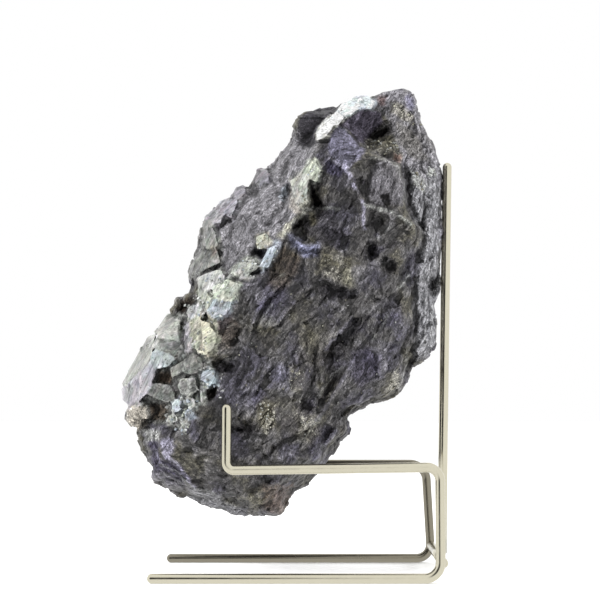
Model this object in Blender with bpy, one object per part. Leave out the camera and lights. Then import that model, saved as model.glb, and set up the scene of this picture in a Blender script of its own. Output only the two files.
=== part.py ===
"""Skutterudite specimen leaning in a bent-wire display stand: the shape only, in metres, +Z up.

The ore and the crystals grown on it are one solid. The stand is two mirrored cradle wires, one back post
and one cross bar near the floor.

Axes: X runs from the cradle hooks (negative) to the back post (positive), Y runs away from the viewer
and Z is up. Every piece is fixed to the others, so there is no moving part.
"""

import math
import random

import bmesh
import bpy
from mathutils import Matrix, Vector, noise
from mathutils.geometry import delaunay_2d_cdt

MM = 0.001

# Driving sizes of the specimen
SPECIMEN_WIDTH = 0.1112
SPECIMEN_THICKNESS = 0.0545
SPECIMEN_HEIGHT = 0.1475

# Driving sizes of the stand
WIRE_DIAMETER = 0.0030
WIRE_SIDES = 12
CRADLE_SPACING = 0.0550
ARM_HEIGHT = 0.0352
HOOK_HEIGHT = 0.0210
HOOK_X = -0.0233
LEG_X = 0.0454
FAR_LEG_FOOT_X = 0.0471
HOOK_BEND_RADIUS = 0.0025
REAR_BEND_RADIUS = 0.0042
FOOT_BEND_RADIUS = 0.0050
POST_BEND_RADIUS = 0.0400
FOOT_REACH_X = -0.0480
POST_FOOT_X = 0.0469
POST_ELBOW = (0.0491, 0.0426)
POST_TOP = (0.0520, 0.1403)
CROSS_BAR_HEIGHT = 0.0062
TOUCH_GAP = 0.0003
BEND_STEP = math.radians(18)
ROUND_END_ANGLES = (0.45, 0.85, 1.2)
WIRE_SHARP_ANGLE = math.radians(35)

# How a position read by eye off the reference picture becomes a real place.
# The eye is level with the lower part of the specimen and looks up a little.
PICTURE_CENTRE = 300.0
PICTURE_FOCAL = 1171.0
EYE_TO_MIDDLE = 401.5
EYE_HEIGHT = 50.7
EYE_TILT = math.radians(5.9)

# Detail sizes of the broken ore
SURFACE_CELL = 0.0013
EVEN_FACES = 5500
SPECIMEN_FACES = 4800
SWELL_SIZE, SWELL_DEPTH = 0.013, 0.0006
FLAKE_SIZE, FLAKE_DEPTH = 0.0060, 0.00085
HACKLE_SIZE, HACKLE_DEPTH = 0.0036, 0.0003
STREAK_TILT = math.radians(-32.0)
STREAK_STRETCH = 2.3
FLAKE_OFFSET = 0.45
NOISE_START = Vector((3.1, 7.7, 1.3))
SEED = 27

# How the edge of the outline rounds over to each side: pixels inward, pixels kept free, millimetres deep
RIM_INWARD, RIM_FREE, RIM_DEPTH = 3.2, 3.5, 4.5

# The near side ends at this Y, and a long feature fades out on faces that turn away from the viewer
NEAR_SIDE_END = 0.004
STROKE_END = 0.002
STROKE_FACING = 2.5
GROOVE_FLOOR = 1.6
STEP_CREST = 0.5

# Rings, flats and unevenness of a rounded lump
LUMP_RINGS, LUMP_FLATS = 6, 9
LUMP_UNEVEN = (0.93, 1.05)

# The outline clockwise from the top: picture right, picture down, millimetres towards the viewer
OUTLINE = [
    (391, 90, 2), (400, 89, 3), (409, 90, 3), (414.5, 95, 3), (417, 102, 3), (421, 115, 2), (425, 130, 2),
    (431, 140, 2), (435.5, 149, 1), (438.5, 158, 1), (441, 168, 0), (441.5, 185, 0), (441, 210, -1),
    (440.5, 240, -1), (440, 270, 0), (440, 293, 2), (436, 301, 3), (435.5, 318, 3), (435.5, 335, 3),
    (433.5, 346, 2), (427, 357, 2), (418, 364.5, 2), (411.5, 363.5, 3), (409, 376, 3), (402, 391, 2),
    (391, 398.5, 1), (377, 402, 0), (369, 402.5, 0), (360, 409, 0), (350, 413.5, -1), (346.5, 418, -2),
    (353, 430, 0), (343, 440, 0), (335, 451, 0), (328, 459, 0), (318, 474, 0), (308, 484, 0),
    (301, 489.5, 0), (294, 489.5, 0), (290, 501, 0), (285.5, 514, 0), (279, 517, 0), (266, 514, 0),
    (250, 514.5, 0), (236, 516.5, -1), (224, 510, -1), (206, 504, -1), (190, 497, -1), (176, 494, -1),
    (163, 489, -1), (151, 480, -1), (151, 473, -1), (153.5, 468.5, -2), (146, 457, -2), (141, 446, -2),
    (138, 433, -2), (137, 427, -2), (143, 418, -1), (136, 404, 0), (131, 392, 1), (139, 374, 2),
    (150, 354, 3), (159, 338, 3), (168, 324, 3), (176, 314, 2), (180, 304, 1), (186, 297, 1),
    (191, 291, 1), (192, 284, 2), (188, 277, 3), (190, 266, 3), (196, 255, 3), (201, 248, 3),
    (202, 235, 4), (203.5, 222, 4), (209, 212, 4), (217, 206, 3), (220, 201.5, 2), (231, 196, 2),
    (236, 187, 2), (244, 185, 2), (252, 184, 1), (254, 177, 1), (258, 169, 1), (267, 168, 0),
    (271, 164, 0), (276, 159, 0), (280, 151, 0), (289, 143, 0), (291, 135, -1), (298, 123.5, -2),
    (306, 115, -3), (318, 109, -4), (331, 107, -4), (338, 105, -2), (345, 99, 2), (353, 95, 3),
    (366, 95, 3), (378, 94, 3),
]

# Ridges and valleys of the side that faces the viewer
FRONT_LINES = {
    "main ridge": [
        (338, 124, 19), (328, 137, 20.5), (316, 150, 21.5), (311, 168, 22.5), (310, 182, 23),
        (304, 203, 23.5), (296, 217, 24.5), (284, 238, 25), (270, 258, 26), (262, 272, 26.5),
        (247, 279, 26.8), (237, 290, 26.8), (233, 302, 26.8), (226, 315, 26.5), (217, 321, 26),
        (217, 345, 25.5), (211, 358, 25), (217, 374, 25), (216, 394, 24.6), (204, 404, 24.2),
        (194, 418, 23.6), (186, 434, 22.8), (172, 448, 20), (170, 459, 18),
    ],
    "foot of the ridge": [
        (321, 184, 19.5), (317, 205, 18.5), (304, 223, 20), (293, 241, 22), (279, 263, 23),
        (267, 284, 24), (248, 293, 25), (240, 306, 25), (228, 326, 24.8), (226, 346, 24.5),
        (229, 366, 23.5),
    ],
    "crest upper edge": [(329, 114, 17.5), (318, 128, 19.5), (316, 134, 20.5)],
    "crest behind": [(325, 112, 6), (314, 125, 8.5), (311, 136, 10), (312, 146, 15)],
    "crest lower edge": [(373, 109, 8), (358, 111, 12), (350, 116, 16), (338, 124, 19)],
    "leaf facet": [
        (338, 124, 19), (346, 129, 20.5), (353, 138, 20), (361, 147, 19), (357, 158, 20),
        (347, 167, 20.5),
    ],
    "pale thin ridge": [
        (347, 167, 20.5), (353, 183, 22.5), (360, 196, 23.8), (365, 208, 24), (363, 229, 23.5),
    ],
    "ridge branch": [(365, 208, 24), (382, 209, 23), (393, 213, 23), (407, 220, 22), (421, 229, 20)],
    "lobe rim": [(368, 150, 18), (385, 160, 19.5), (397, 165, 19.5), (403, 180, 19), (403, 201, 19)],
    "right crack": [
        (407, 172, 13), (409, 195, 13), (415, 214, 13), (422, 228, 14), (422, 245, 14), (417, 262, 14),
        (412, 281, 14), (416, 300, 13), (416, 330, 11), (412, 352, 9),
    ],
    "plateau edge": [(320, 278, 24.6), (335, 284, 25.2), (351, 288, 25.8)],
    "plateau foot": [(319, 284, 21.5), (334, 291, 20.8), (350, 295, 21.2)],
    "diagonal valley": [(356, 318, 22), (345, 336, 21.4), (335, 355, 21), (331, 378, 21.5), (324, 398, 22)],
    "lower left ridge": [(166, 447, 17), (171, 459, 18), (181, 466, 19), (192, 477, 18.5)],
    "lower lip": [(160, 464, 12), (177, 475, 14), (187, 485, 15), (197, 490, 15), (213, 494, 16)],
}

FRONT_SPOTS = [
    # rounded dark lump and the crest
    (306, 123, 3), (317, 117, 3), (303, 137, 7), (297, 147, 9), (330, 122, 19), (345, 108, 14),
    (360, 101, 10), (371, 102, 7),
    # hollow facet right of the crest, and the top right corner
    (352, 125, 12), (362, 119, 8), (373, 118, 6), (366, 134, 9), (359, 141, 14), (385, 108, 6),
    (400, 104, 8), (408, 98, 8), (394, 121, 9), (379, 132, 5), (372, 138, 9), (368, 145, 13),
    (386, 146, 13), (398, 138, 11), (410, 118, 8), (404, 128, 10), (416, 134, 8), (426, 146, 6),
    (406, 151, 13), (380, 153, 15), (393, 155, 14),
    # leaf facet and the lobe
    (333, 135, 21.5), (329, 150, 22), (334, 160, 21.5), (340, 148, 20.5), (340, 178, 20),
    (329, 171, 21.5), (350, 201, 20.5), (355, 217, 21.5), (357, 170, 20), (361, 184, 20.5),
    (372, 166, 20.5), (380, 180, 21.8), (390, 188, 21.8), (371, 192, 21), (384, 198, 20.5),
    (395, 203, 20.5), (379, 222, 19), (396, 232, 19.5), (388, 225, 21), (372, 231, 22.5),
    # right rim
    (415, 160, 11), (425, 166, 9), (433, 185, 7), (421, 188, 13), (416, 203, 12.5), (433, 215, 7),
    (430, 240, 10), (427, 262, 11), (437, 262, 3), (434, 286, 3.5), (427, 292, 10), (427, 312, 10.5),
    (424, 334, 9), (421, 350, 7), (428, 345, 7),
    # centre of the front
    (330, 199, 23), (332, 214, 21), (320, 222, 22), (340, 228, 21.5), (347, 241, 20.5), (322, 244, 24),
    (333, 255, 25), (351, 263, 25.2), (326, 268, 24.8), (350, 278, 26), (338, 272, 25), (363, 246, 23),
    (372, 240, 22), (372, 250, 17), (380, 246, 22), (377, 260, 22), (391, 256, 21.5), (391, 264, 17),
    (399, 268, 21), (385, 272, 22), (405, 245, 21), (395, 243, 21.5), (366, 270, 23.5), (365, 290, 24),
    (384, 288, 22), (397, 301, 17.5), (405, 288, 19), (400, 280, 20), (405, 310, 19), (390, 320, 21),
    (372, 306, 23), (370, 330, 23), (352, 305, 23), (335, 300, 22.5), (325, 320, 25), (333, 332, 25),
    (300, 262, 24.5), (285, 285, 25), (305, 290, 24), (295, 310, 26), (275, 305, 26), (255, 312, 26),
    (258, 335, 25.5), (282, 332, 26.5), (310, 345, 26), (290, 360, 25.5), (262, 362, 25.8),
    (242, 350, 24.5), (240, 372, 24.5), (316, 370, 25.5), (300, 388, 26), (272, 385, 25.6),
    (250, 395, 25), (228, 390, 24.2), (345, 352, 24.2), (350, 372, 24.5), (343, 390, 24),
    (365, 352, 23.2), (375, 375, 20.5), (360, 390, 21), (345, 403, 20), (385, 348, 21.5), (397, 362, 17),
    (392, 383, 14), (404, 345, 17), (405, 330, 19.5), (380, 395, 12), (362, 402, 14),
    # lower part, behind the near cradle wire
    (230, 410, 24.5), (250, 412, 25.2), (266, 408, 25.4), (288, 402, 25.6), (306, 408, 25),
    (318, 418, 23.8), (330, 415, 22), (341, 421, 15), (344, 431, 13), (332, 436, 18), (212, 418, 22.6),
    (214, 440, 23.4), (238, 430, 22.6), (262, 426, 25.2), (285, 430, 25), (304, 432, 25),
    (247, 448, 24.6), (270, 452, 25), (296, 455, 25.2), (316, 450, 22.5), (240, 459, 27.4),
    (262, 459, 27.4), (290, 459, 27.4), (308, 459, 26.6), (322, 458, 16), (225, 462, 24.4),
    (230, 478, 23.6), (262, 482, 23.8), (288, 479, 23), (302, 480, 13), (300, 486, 8), (206, 458, 22.6),
    (195, 442, 23), (207, 472, 21.8), (214, 484, 20.5), (245, 493, 20.5), (238, 504, 16), (258, 504, 15),
    (272, 496, 17), (281, 506, 10), (268, 509, 8), (225, 502, 12), (203, 498, 8), (184, 490, 7),
    (170, 485, 6), (160, 478, 6), (158, 470, 8), (153, 458, 7), (160, 452, 13), (150, 446, 7),
    (146, 434, 6), (158, 432, 12), (172, 434, 17), (170, 470, 15),
    # seat of the crystals, lower left
    (152, 419, 5), (157, 411, 6), (166, 416, 11), (145, 410, 6), (146, 397, 9), (160, 393, 11),
    (176, 402, 15), (188, 402, 19), (200, 388, 22), (148, 380, 9), (164, 376, 10), (180, 378, 17),
    (192, 364, 20), (158, 360, 11), (172, 352, 13), (186, 350, 18), (168, 338, 11), (182, 330, 12),
    (183, 316, 10), (194, 338, 21), (203, 334, 24), (196, 316, 18), (205, 303, 21), (196, 296, 13),
    (215, 290, 22), (203, 280, 14), (226, 282, 23),
    # upper left face
    (195, 268, 8), (207, 262, 11), (217, 268, 16), (222, 252, 16), (208, 240, 9), (214, 226, 11),
    (224, 236, 15.5), (236, 258, 18), (232, 244, 16.5), (246, 262, 21), (252, 271, 20.5),
    (262, 253, 18.5), (255, 244, 20), (266, 238, 22), (250, 228, 16.5), (238, 226, 14), (228, 214, 10.5),
    (222, 209, 8), (240, 207, 12), (256, 212, 16), (272, 222, 21), (284, 222, 22), (270, 206, 18),
    (257, 196, 12), (246, 194, 9.5), (240, 190, 6), (254, 189, 5), (264, 187, 9), (268, 192, 13),
    (262, 175, 6), (278, 184, 13), (284, 205, 20), (289, 192, 14), (292, 208, 22), (297, 196, 21),
    (300, 182, 21), (290, 178, 16), (276, 172, 8), (284, 164, 9), (292, 156, 12), (302, 160, 18),
    (303, 147, 13), (299, 172, 19), (284, 154, 5), (320, 195, 22.5), (326, 186, 22),
]

# Long features of the near side: kind, half width in picture pixels, height in millimetres, then the run.
# A step is low on the right-hand side of its run.
STROKES = {
    "pale thin ridge": ("ridge", 5, 1.7, [(345, 164), (352, 180), (359, 195), (364, 208), (363, 231)]),
    "ridge branch": ("ridge", 6, 1.4, [(365, 207), (382, 208), (393, 213), (407, 220), (420, 229)]),
    "branch shadow": ("groove", 4, 1.3, [(368, 200), (375, 206), (390, 207), (398, 213)]),
    "lobe rim": ("ridge", 5, 1.3, [(368, 151), (384, 159), (396, 164), (401, 180), (401, 203)]),
    "lobe crack": ("groove", 4, 1.6, [(367, 190), (370, 176), (375, 168), (374, 160)]),
    "lobe nick": ("groove", 4, 1.6, [(382, 196), (386, 194), (386, 203)]),
    "right crack": ("groove", 6, 2.2, [
        (406, 168), (408, 200), (414, 214), (422, 228), (422, 250), (417, 262),
    ]),
    "right crack lower": ("groove", 5, 1.8, [(412, 280), (416, 300), (416, 332), (412, 356)]),
    "inner rim crack": ("groove", 4, 1.6, [(426, 205), (424, 215), (421, 226)]),
    "rim pit": ("groove", 6, 2.2, [(437, 276), (432, 288), (431, 297)]),
    "plateau drop": ("step", 10, 2.4, [(320, 276), (335, 284), (351, 289)]),
    "plateau left edge": ("step", 7, 1.2, [(319, 240), (319, 270)]),
    "violet shelf": ("step", 8, 1.6, [(290, 236), (303, 249), (318, 249)]),
    "diagonal drop": ("step", 12, 2.2, [(326, 350), (336, 339), (345, 331), (359, 315)]),
    "lower groove": ("groove", 5, 2.0, [(338, 373), (331, 385), (325, 395), (321, 403)]),
    "lower pale strip": ("ridge", 5, 1.3, [(334, 433), (329, 441), (322, 452), (317, 461)]),
    "lower dark strip": ("groove", 4, 1.6, [(328, 413), (326, 424), (329, 431), (322, 447)]),
    "lower pit": ("groove", 6, 1.8, [(305, 405), (318, 411)]),
    "hook pit": ("groove", 7, 2.2, [(237, 430), (250, 427)]),
    "centre pit": ("groove", 6, 2.4, [(371, 245), (374, 254)]),
    "centre pit two": ("groove", 7, 2.2, [(385, 259), (394, 267)]),
    "centre ridge": ("ridge", 4, 1.2, [(367, 250), (376, 241), (388, 233)]),
    "centre notch": ("groove", 4, 1.5, [(347, 240), (338, 250)]),
    "left pit": ("groove", 7, 2.2, [(238, 331), (234, 342)]),
    "crystal foot pit": ("groove", 7, 2.0, [(218, 362), (229, 367)]),
    "flow one": ("step", 8, 1.5, [(251, 330), (258, 316), (268, 300)]),
    "flow two": ("step", 8, 1.6, [(280, 322), (290, 308), (300, 297), (310, 288)]),
    "flow three": ("step", 8, 1.4, [(256, 392), (266, 378), (272, 366)]),
    "flow four": ("step", 9, 1.7, [(302, 404), (308, 388), (312, 372), (313, 352)]),
    "flow five": ("step", 8, 1.5, [(284, 392), (290, 380), (300, 362)]),
    "flow six": ("step", 9, 1.6, [(262, 458), (274, 446), (290, 436), (306, 430)]),
    "flow seven": ("step", 9, 1.6, [(340, 318), (349, 303), (352, 288)]),
    "flow eight": ("step", 9, 1.6, [(372, 330), (384, 306), (395, 284), (400, 270)]),
    "flow nine": ("step", 8, 1.4, [(384, 372), (396, 352), (404, 330), (408, 310)]),
    "flow ten": ("step", 8, 1.3, [(236, 382), (246, 366), (250, 350)]),
    "low ridge one": ("ridge", 5, 1.3, [(162, 440), (170, 458), (181, 466), (191, 478)]),
    "low ridge two": ("ridge", 5, 1.4, [(158, 463), (176, 474), (187, 484), (198, 490), (214, 494)]),
    "foot crack": ("groove", 5, 1.6, [(248, 492), (258, 485), (266, 480)]),
    "foot hollow": ("groove", 7, 2.0, [(232, 503), (244, 505)]),
    "chip crack": ("groove", 4, 1.6, [(295, 488), (304, 475)]),
    "ridge hollow one": ("groove", 7, 2.6, [(312, 184), (316, 196), (318, 205)]),
    "ridge hollow two": ("groove", 7, 2.6, [(301, 218), (296, 227), (305, 236)]),
    "face crack": ("groove", 4, 1.6, [(289, 188), (285, 203), (277, 212), (268, 224)]),
    "face hollow": ("groove", 6, 2.2, [(256, 249), (264, 254)]),
    "face hollow two": ("groove", 6, 2.2, [(247, 273), (258, 272)]),
    "left crack": ("groove", 4, 1.6, [(207, 221), (213, 230), (218, 240)]),
    "left wedge": ("groove", 4, 1.6, [(219, 229), (229, 219)]),
    "left foot crack": ("groove", 4, 1.5, [(205, 271), (212, 269), (219, 263), (221, 250)]),
    "knob notch": ("groove", 5, 2.0, [(250, 188), (256, 192)]),
    "crest hollow": ("groove", 8, 2.2, [(370, 136), (380, 132), (390, 128)]),
    "golden shelf": ("step", 7, 1.8, [(370, 149), (383, 152), (394, 158)]),
}

# Ridges and spots of the side that faces away, which the picture doesn't show
BACK_LINES = {
    "back ridge": [
        (398, 106, -9), (381, 140, -17), (356, 178, -21.5), (338, 228, -23.5), (306, 286, -25),
        (277, 346, -26), (252, 404, -25), (240, 446, -25.5), (232, 482, -19),
    ],
    "back ledge": [(300, 205, -17.5), (318, 232, -20), (294, 250, -19.5)],
    "back ledge edge": [(296, 198, -12.5), (280, 222, -13), (262, 248, -14)],
    "back lower step": [(330, 330, -23), (352, 352, -21.5), (378, 352, -19)],
    "back lower step foot": [(334, 340, -18.5), (354, 361, -17), (380, 362, -14.5)],
}

BACK_SPOTS = [
    (320, 125, -9), (305, 150, -9.5), (285, 180, -9.5), (350, 120, -13), (372, 112, -10), (330, 155, -16),
    (318, 185, -18), (250, 220, -10), (232, 215, -7), (230, 255, -13.5), (212, 262, -9), (250, 285, -19),
    (222, 300, -16), (200, 300, -9), (232, 335, -21), (200, 338, -15), (182, 350, -9), (168, 372, -10),
    (195, 378, -18), (222, 380, -23), (150, 392, -8), (168, 410, -14), (196, 418, -20.5), (154, 432, -10),
    (176, 448, -15), (205, 452, -22), (165, 468, -8), (188, 480, -12), (212, 488, -14), (250, 492, -15),
    (272, 478, -19.5), (276, 502, -9), (290, 462, -24.5), (268, 456, -28.6), (300, 457, -28.4),
    (248, 455, -28.4), (314, 452, -18), (322, 430, -17), (300, 420, -22.5), (280, 400, -25),
    (318, 392, -21), (306, 350, -25.2), (342, 392, -15), (350, 405, -7), (376, 388, -9), (395, 372, -8),
    (404, 348, -10), (420, 340, -6.5), (425, 305, -8), (404, 318, -14), (382, 325, -19.5),
    (360, 300, -22.5), (340, 290, -24), (390, 280, -18.5), (428, 268, -8.5), (410, 250, -14),
    (384, 235, -19.5), (362, 240, -22.5), (430, 222, -8), (408, 205, -14.5), (388, 190, -18),
    (428, 180, -8), (412, 160, -12.5), (424, 148, -7), (402, 140, -13), (412, 118, -8), (362, 205, -22),
    (260, 330, -24), (244, 365, -24),
]

# Crystals: corners of the visible faces, then the roots that sit in the ore
CRYSTALS = {
    "outer slab": [
        (149, 334.5, 2), (157, 332, 8), (154, 348, 12.5), (148, 371, 13), (140, 378, 11), (129, 384, 5),
        (121.5, 384, -1), (131, 365.5, -1), (150, 365, -9), (136, 386, -9),
    ],
    "outer block": [
        (168, 312, 3), (179, 316, 10), (179.5, 341, 15), (160, 338, 14), (156, 332, 8.5), (157, 329, 2),
        (172, 335, -7), (166, 330, -7),
    ],
    "striated step": [
        (156, 337, 12.5), (179, 342, 15), (184, 353, 17), (177, 359, 16.5), (160, 350, 15.5),
        (152, 347, 13), (168, 350, 2),
    ],
    "blue facet": [
        (160, 350, 15.8), (177, 358.5, 17.5), (168, 367, 16.5), (157, 369, 15), (150, 359, 13.5),
        (152, 351, 14), (164, 362, 2),
    ],
    "lilac block": [
        (151, 360, 13.5), (158, 369, 15), (154, 379, 15.5), (148, 392, 14.5), (140, 402, 12),
        (130, 407, 7), (123, 400, 1), (121.5, 389, -1), (129, 383, 5.5), (140, 377, 11), (145, 385, -8),
        (136, 400, -8),
    ],
    "grey block": [
        (153, 383, 14.5), (160, 382.5, 16), (171, 385, 17.5), (177, 396, 18.5), (169, 402.5, 16.5),
        (158, 400, 15), (145, 393, 13), (160, 395, 0), (170, 392, 2),
    ],
    "pyramid": [
        (193, 349, 20.5), (203, 356, 22.5), (204, 370, 23.5), (190, 375, 22), (181, 370, 19.5),
        (184, 361, 19), (194, 361, 25.2), (193, 364, 8),
    ],
    "green facet": [
        (182, 377, 21), (196, 377, 23.5), (199, 390, 24.5), (190, 396.5, 24), (182, 394, 22),
        (178, 386, 20), (188, 386, 8),
    ],
    "side chip": [(170, 368, 16.5), (184, 360, 19.5), (181, 373, 19), (172, 379, 17), (178, 370, 6)],
    "blue crystal": [
        (202, 372, 23.8), (210, 368, 25), (215, 371, 25.8), (217, 384, 25.8), (209, 385, 25),
        (201, 380, 23.8), (208, 377, 12),
    ],
    "white sliver": [
        (200, 390, 23.8), (203.5, 389, 25), (204.5, 404, 25.4), (201, 402, 24.2), (198, 398, 14),
    ],
    "small one": [
        (172, 403, 17.5), (178, 398, 19.5), (183, 401, 20.2), (180, 412, 20), (172, 413, 17.5),
        (177, 406, 8),
    ],
    "small two": [(186, 397, 21.8), (196, 398, 24), (197, 407, 24), (188, 409, 22.5), (191, 402, 12)],
    "small three": [
        (168, 416, 15.5), (172, 413, 17.5), (178, 415, 19.5), (178.5, 421, 19), (171, 424.5, 17),
        (167, 421, 15), (173, 418, 6),
    ],
    "small four": [(180, 422, 19), (186, 421, 21), (188.5, 431, 21), (183, 434, 19.5), (184, 427, 8)],
    "small five": [(183, 410, 20.5), (192, 408, 23), (193.5, 418, 23), (185, 417, 21), (188, 413, 10)],
    "patch upper": [
        (196.5, 277, 13), (210, 272, 18), (222, 268, 21), (227, 277, 23.5), (218, 285, 24),
        (206, 292, 21), (199, 290, 15), (212, 280, 4),
    ],
    "patch left": [
        (198, 291, 15.5), (206, 291, 21), (214, 299, 25.5), (206, 311, 24), (197, 306, 19), (205, 300, 6),
    ],
    "patch right": [
        (213, 286, 23), (228, 279, 25.5), (241, 284, 27.6), (235, 300, 28), (222, 301, 27.4),
        (213, 297, 25.8), (226, 290, 10),
    ],
    "patch lower": [
        (213, 300, 25.8), (234, 301, 28), (227, 315, 27.8), (215, 318, 27), (207, 311, 24.6),
        (220, 308, 12),
    ],
    "lobe upper": [
        (188, 308, 16), (199, 302, 20), (207, 311, 24.2), (201, 319, 23.5), (190, 320, 19),
        (187, 313, 16), (197, 312, 5),
    ],
    "lobe": [
        (190, 320, 19), (200, 318, 23.8), (211, 322, 27), (216.5, 335, 27.4), (215, 348, 26.8),
        (205, 356.5, 25.6), (194, 349, 23.4), (189.5, 335, 20), (203, 337, 8),
    ],
    "lilac strip": [
        (186, 322, 17), (191, 322, 19.5), (191, 351, 22.5), (186, 350, 19), (183, 339, 16.5),
        (189, 336, 4),
    ],
    "left face": [
        (203, 221.5, 4.5), (209, 219, 8.5), (216, 232, 13), (219.5, 246, 16), (206, 249, 12),
        (201.5, 242, 5), (210, 235, -6),
    ],
    "left flank": [
        (188, 277, 3.5), (190, 266, 4), (197, 253.5, 4), (206, 250, 10), (219, 249, 15.5),
        (222, 262, 17.5), (206, 269, 13.5), (195, 275, 9), (203, 262, -5),
    ],
    "left notch": [
        (204, 217, 4.5), (217, 206, 4.5), (225, 213, 10.5), (222, 223, 13), (212, 224, 11),
        (216, 215, -4),
    ],
    "violet block": [
        (219, 202, 3), (231, 197, 4.5), (240, 200, 11), (232, 218, 13.5), (223, 213, 10), (229, 208, -4),
    ],
    "upper knob": [
        (236, 187, 3), (245, 185.5, 4.5), (248, 191, 9.5), (240, 198, 10), (232, 195, 4), (240, 192, -6),
    ],
    "pale knob": [
        (258, 168, 1.5), (266, 168, 3), (270.5, 171, 6.5), (269.5, 182, 10.5), (255, 184, 6),
        (254, 177, 2), (263, 177, -7),
    ],
    "glint block": [(256, 236, 21), (268, 232, 24), (269, 247, 25), (257, 249, 22.5), (262, 241, 10)],
    "ridge facet": [(268, 248, 25.5), (280, 243, 26.3), (269, 268, 27.4), (259, 267, 26.4), (268, 256, 14)],
    "ledge block": [
        (239, 262, 21), (256, 258, 23.5), (259, 267, 25.5), (246, 278, 26.4), (237, 272, 24),
        (247, 268, 12),
    ],
    "green patch": [
        (304, 171, 21.5), (314, 159, 22.6), (320.5, 168, 24), (318, 183, 24.4), (309, 179, 23.4),
        (313, 171, 12),
    ],
    "pale patch": [
        (289, 179, 17), (304, 173, 22), (309, 179, 23.6), (308.5, 197, 24.4), (296, 201, 22.8),
        (300, 187, 12),
    ],
    "crest tip": [
        (315.5, 133, 20), (322, 126, 20.5), (331, 121, 21), (333, 128, 22), (325, 138, 22.4),
        (318, 140, 21.8), (325, 131, 10),
    ],
    "crest middle": [
        (323, 123, 19), (337, 111, 18.5), (345, 117, 20.5), (338, 125, 21.6), (328, 127, 21.4),
        (334, 119, 6),
    ],
    "crest upper": [
        (336, 111, 17), (344, 100, 8), (356, 95, 5), (361, 107, 13), (351, 116, 18.5), (343, 118, 20),
        (348, 106, -2),
    ],
    "crest top": [
        (356, 94.5, 5), (368, 95, 4.5), (376, 102, 7.5), (372, 109.5, 10.5), (359, 109.5, 14),
        (366, 102, -4),
    ],
}

# Rounded lumps: middle, then half sizes across, up and in depth, in millimetres
LUMPS = {
    "lower lobe": ((136.5, 416, 4), (3.3, 3.9, 5.0)),
    "lower bulge": ((143, 410, 8), (4.4, 3.2, 5.0)),
    "edge knob": ((181, 302.5, 5), (2.4, 2.4, 4.5)),
    "edge bead": ((176.5, 310, 6), (1.9, 1.9, 3.5)),
    "edge lump": ((190, 298.5, 8), (2.6, 2.3, 4.5)),
    "dark lump": ((312, 126, 5), (6.6, 5.6, 8.0)),
}


def place(across, down, towards):
    """Real place, in metres, of a picture position that lies so many millimetres towards the viewer."""
    right = (across - PICTURE_CENTRE) / PICTURE_FOCAL
    up = (PICTURE_CENTRE - down) / PICTURE_FOCAL
    reach = (EYE_TO_MIDDLE - towards) / (math.cos(EYE_TILT) - up * math.sin(EYE_TILT))
    height = EYE_HEIGHT + reach * (math.sin(EYE_TILT) + up * math.cos(EYE_TILT))
    return Vector((right * reach, -towards, height)) * MM


def seen(point):
    """Where a real place shows in the picture: across and down."""
    x, y, z = point / MM
    away, height = y + EYE_TO_MIDDLE, z - EYE_HEIGHT
    reach = away * math.cos(EYE_TILT) + height * math.sin(EYE_TILT)
    up = height * math.cos(EYE_TILT) - away * math.sin(EYE_TILT)
    return Vector((PICTURE_CENTRE + PICTURE_FOCAL * x / reach, PICTURE_CENTRE - PICTURE_FOCAL * up / reach))


def new_object(name, mesh):
    """Link a mesh to the scene as a named object."""
    made = bpy.data.objects.new(name, mesh)
    bpy.context.scene.collection.objects.link(made)
    return made


def mesh_of(name, points, faces):
    """Make a mesh from points and faces."""
    mesh = bpy.data.meshes.new(name)
    mesh.from_pydata([tuple(point) for point in points], [], faces)
    mesh.update()
    return mesh


def apply_modifiers(made):
    """Replace an object's mesh by its evaluated one, and drop the modifiers."""
    graph = bpy.context.evaluated_depsgraph_get()
    graph.update()
    baked = bpy.data.meshes.new_from_object(made.evaluated_get(graph))
    made.modifiers.clear()
    made.data = baked


def finish_mesh(mesh):
    """Merge doubled points, turn faces out and split every face into triangles."""
    shape = bmesh.new()
    shape.from_mesh(mesh)
    bmesh.ops.remove_doubles(shape, verts=shape.verts, dist=1e-6)
    bmesh.ops.dissolve_degenerate(shape, edges=shape.edges, dist=1e-6)
    bmesh.ops.triangulate(shape, faces=shape.faces)
    bmesh.ops.recalc_face_normals(shape, faces=shape.faces)
    shape.to_mesh(mesh)
    shape.free()


def keep_largest(mesh):
    """Drop chips that a cut has freed, so that the piece stays one body."""
    shape = bmesh.new()
    shape.from_mesh(mesh)
    left, islands = set(shape.verts), []
    while left:
        island, edge = set(), [left.pop()]
        while edge:
            vertex = edge.pop()
            island.add(vertex)
            for link in vertex.link_edges:
                other = link.other_vert(vertex)
                if other in left:
                    left.remove(other)
                    edge.append(other)
        islands.append(island)
    islands.sort(key=len, reverse=True)
    bmesh.ops.delete(shape, geom=[vertex for island in islands[1:] for vertex in island], context="VERTS")
    shape.to_mesh(mesh)
    shape.free()


def boolean(made, other, operation):
    """Join or cut with another object, which is then removed."""
    step = made.modifiers.new("Joined", "BOOLEAN")
    step.operation = operation
    step.solver = "EXACT"
    step.object = other
    apply_modifiers(made)
    bpy.data.objects.remove(other)


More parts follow.
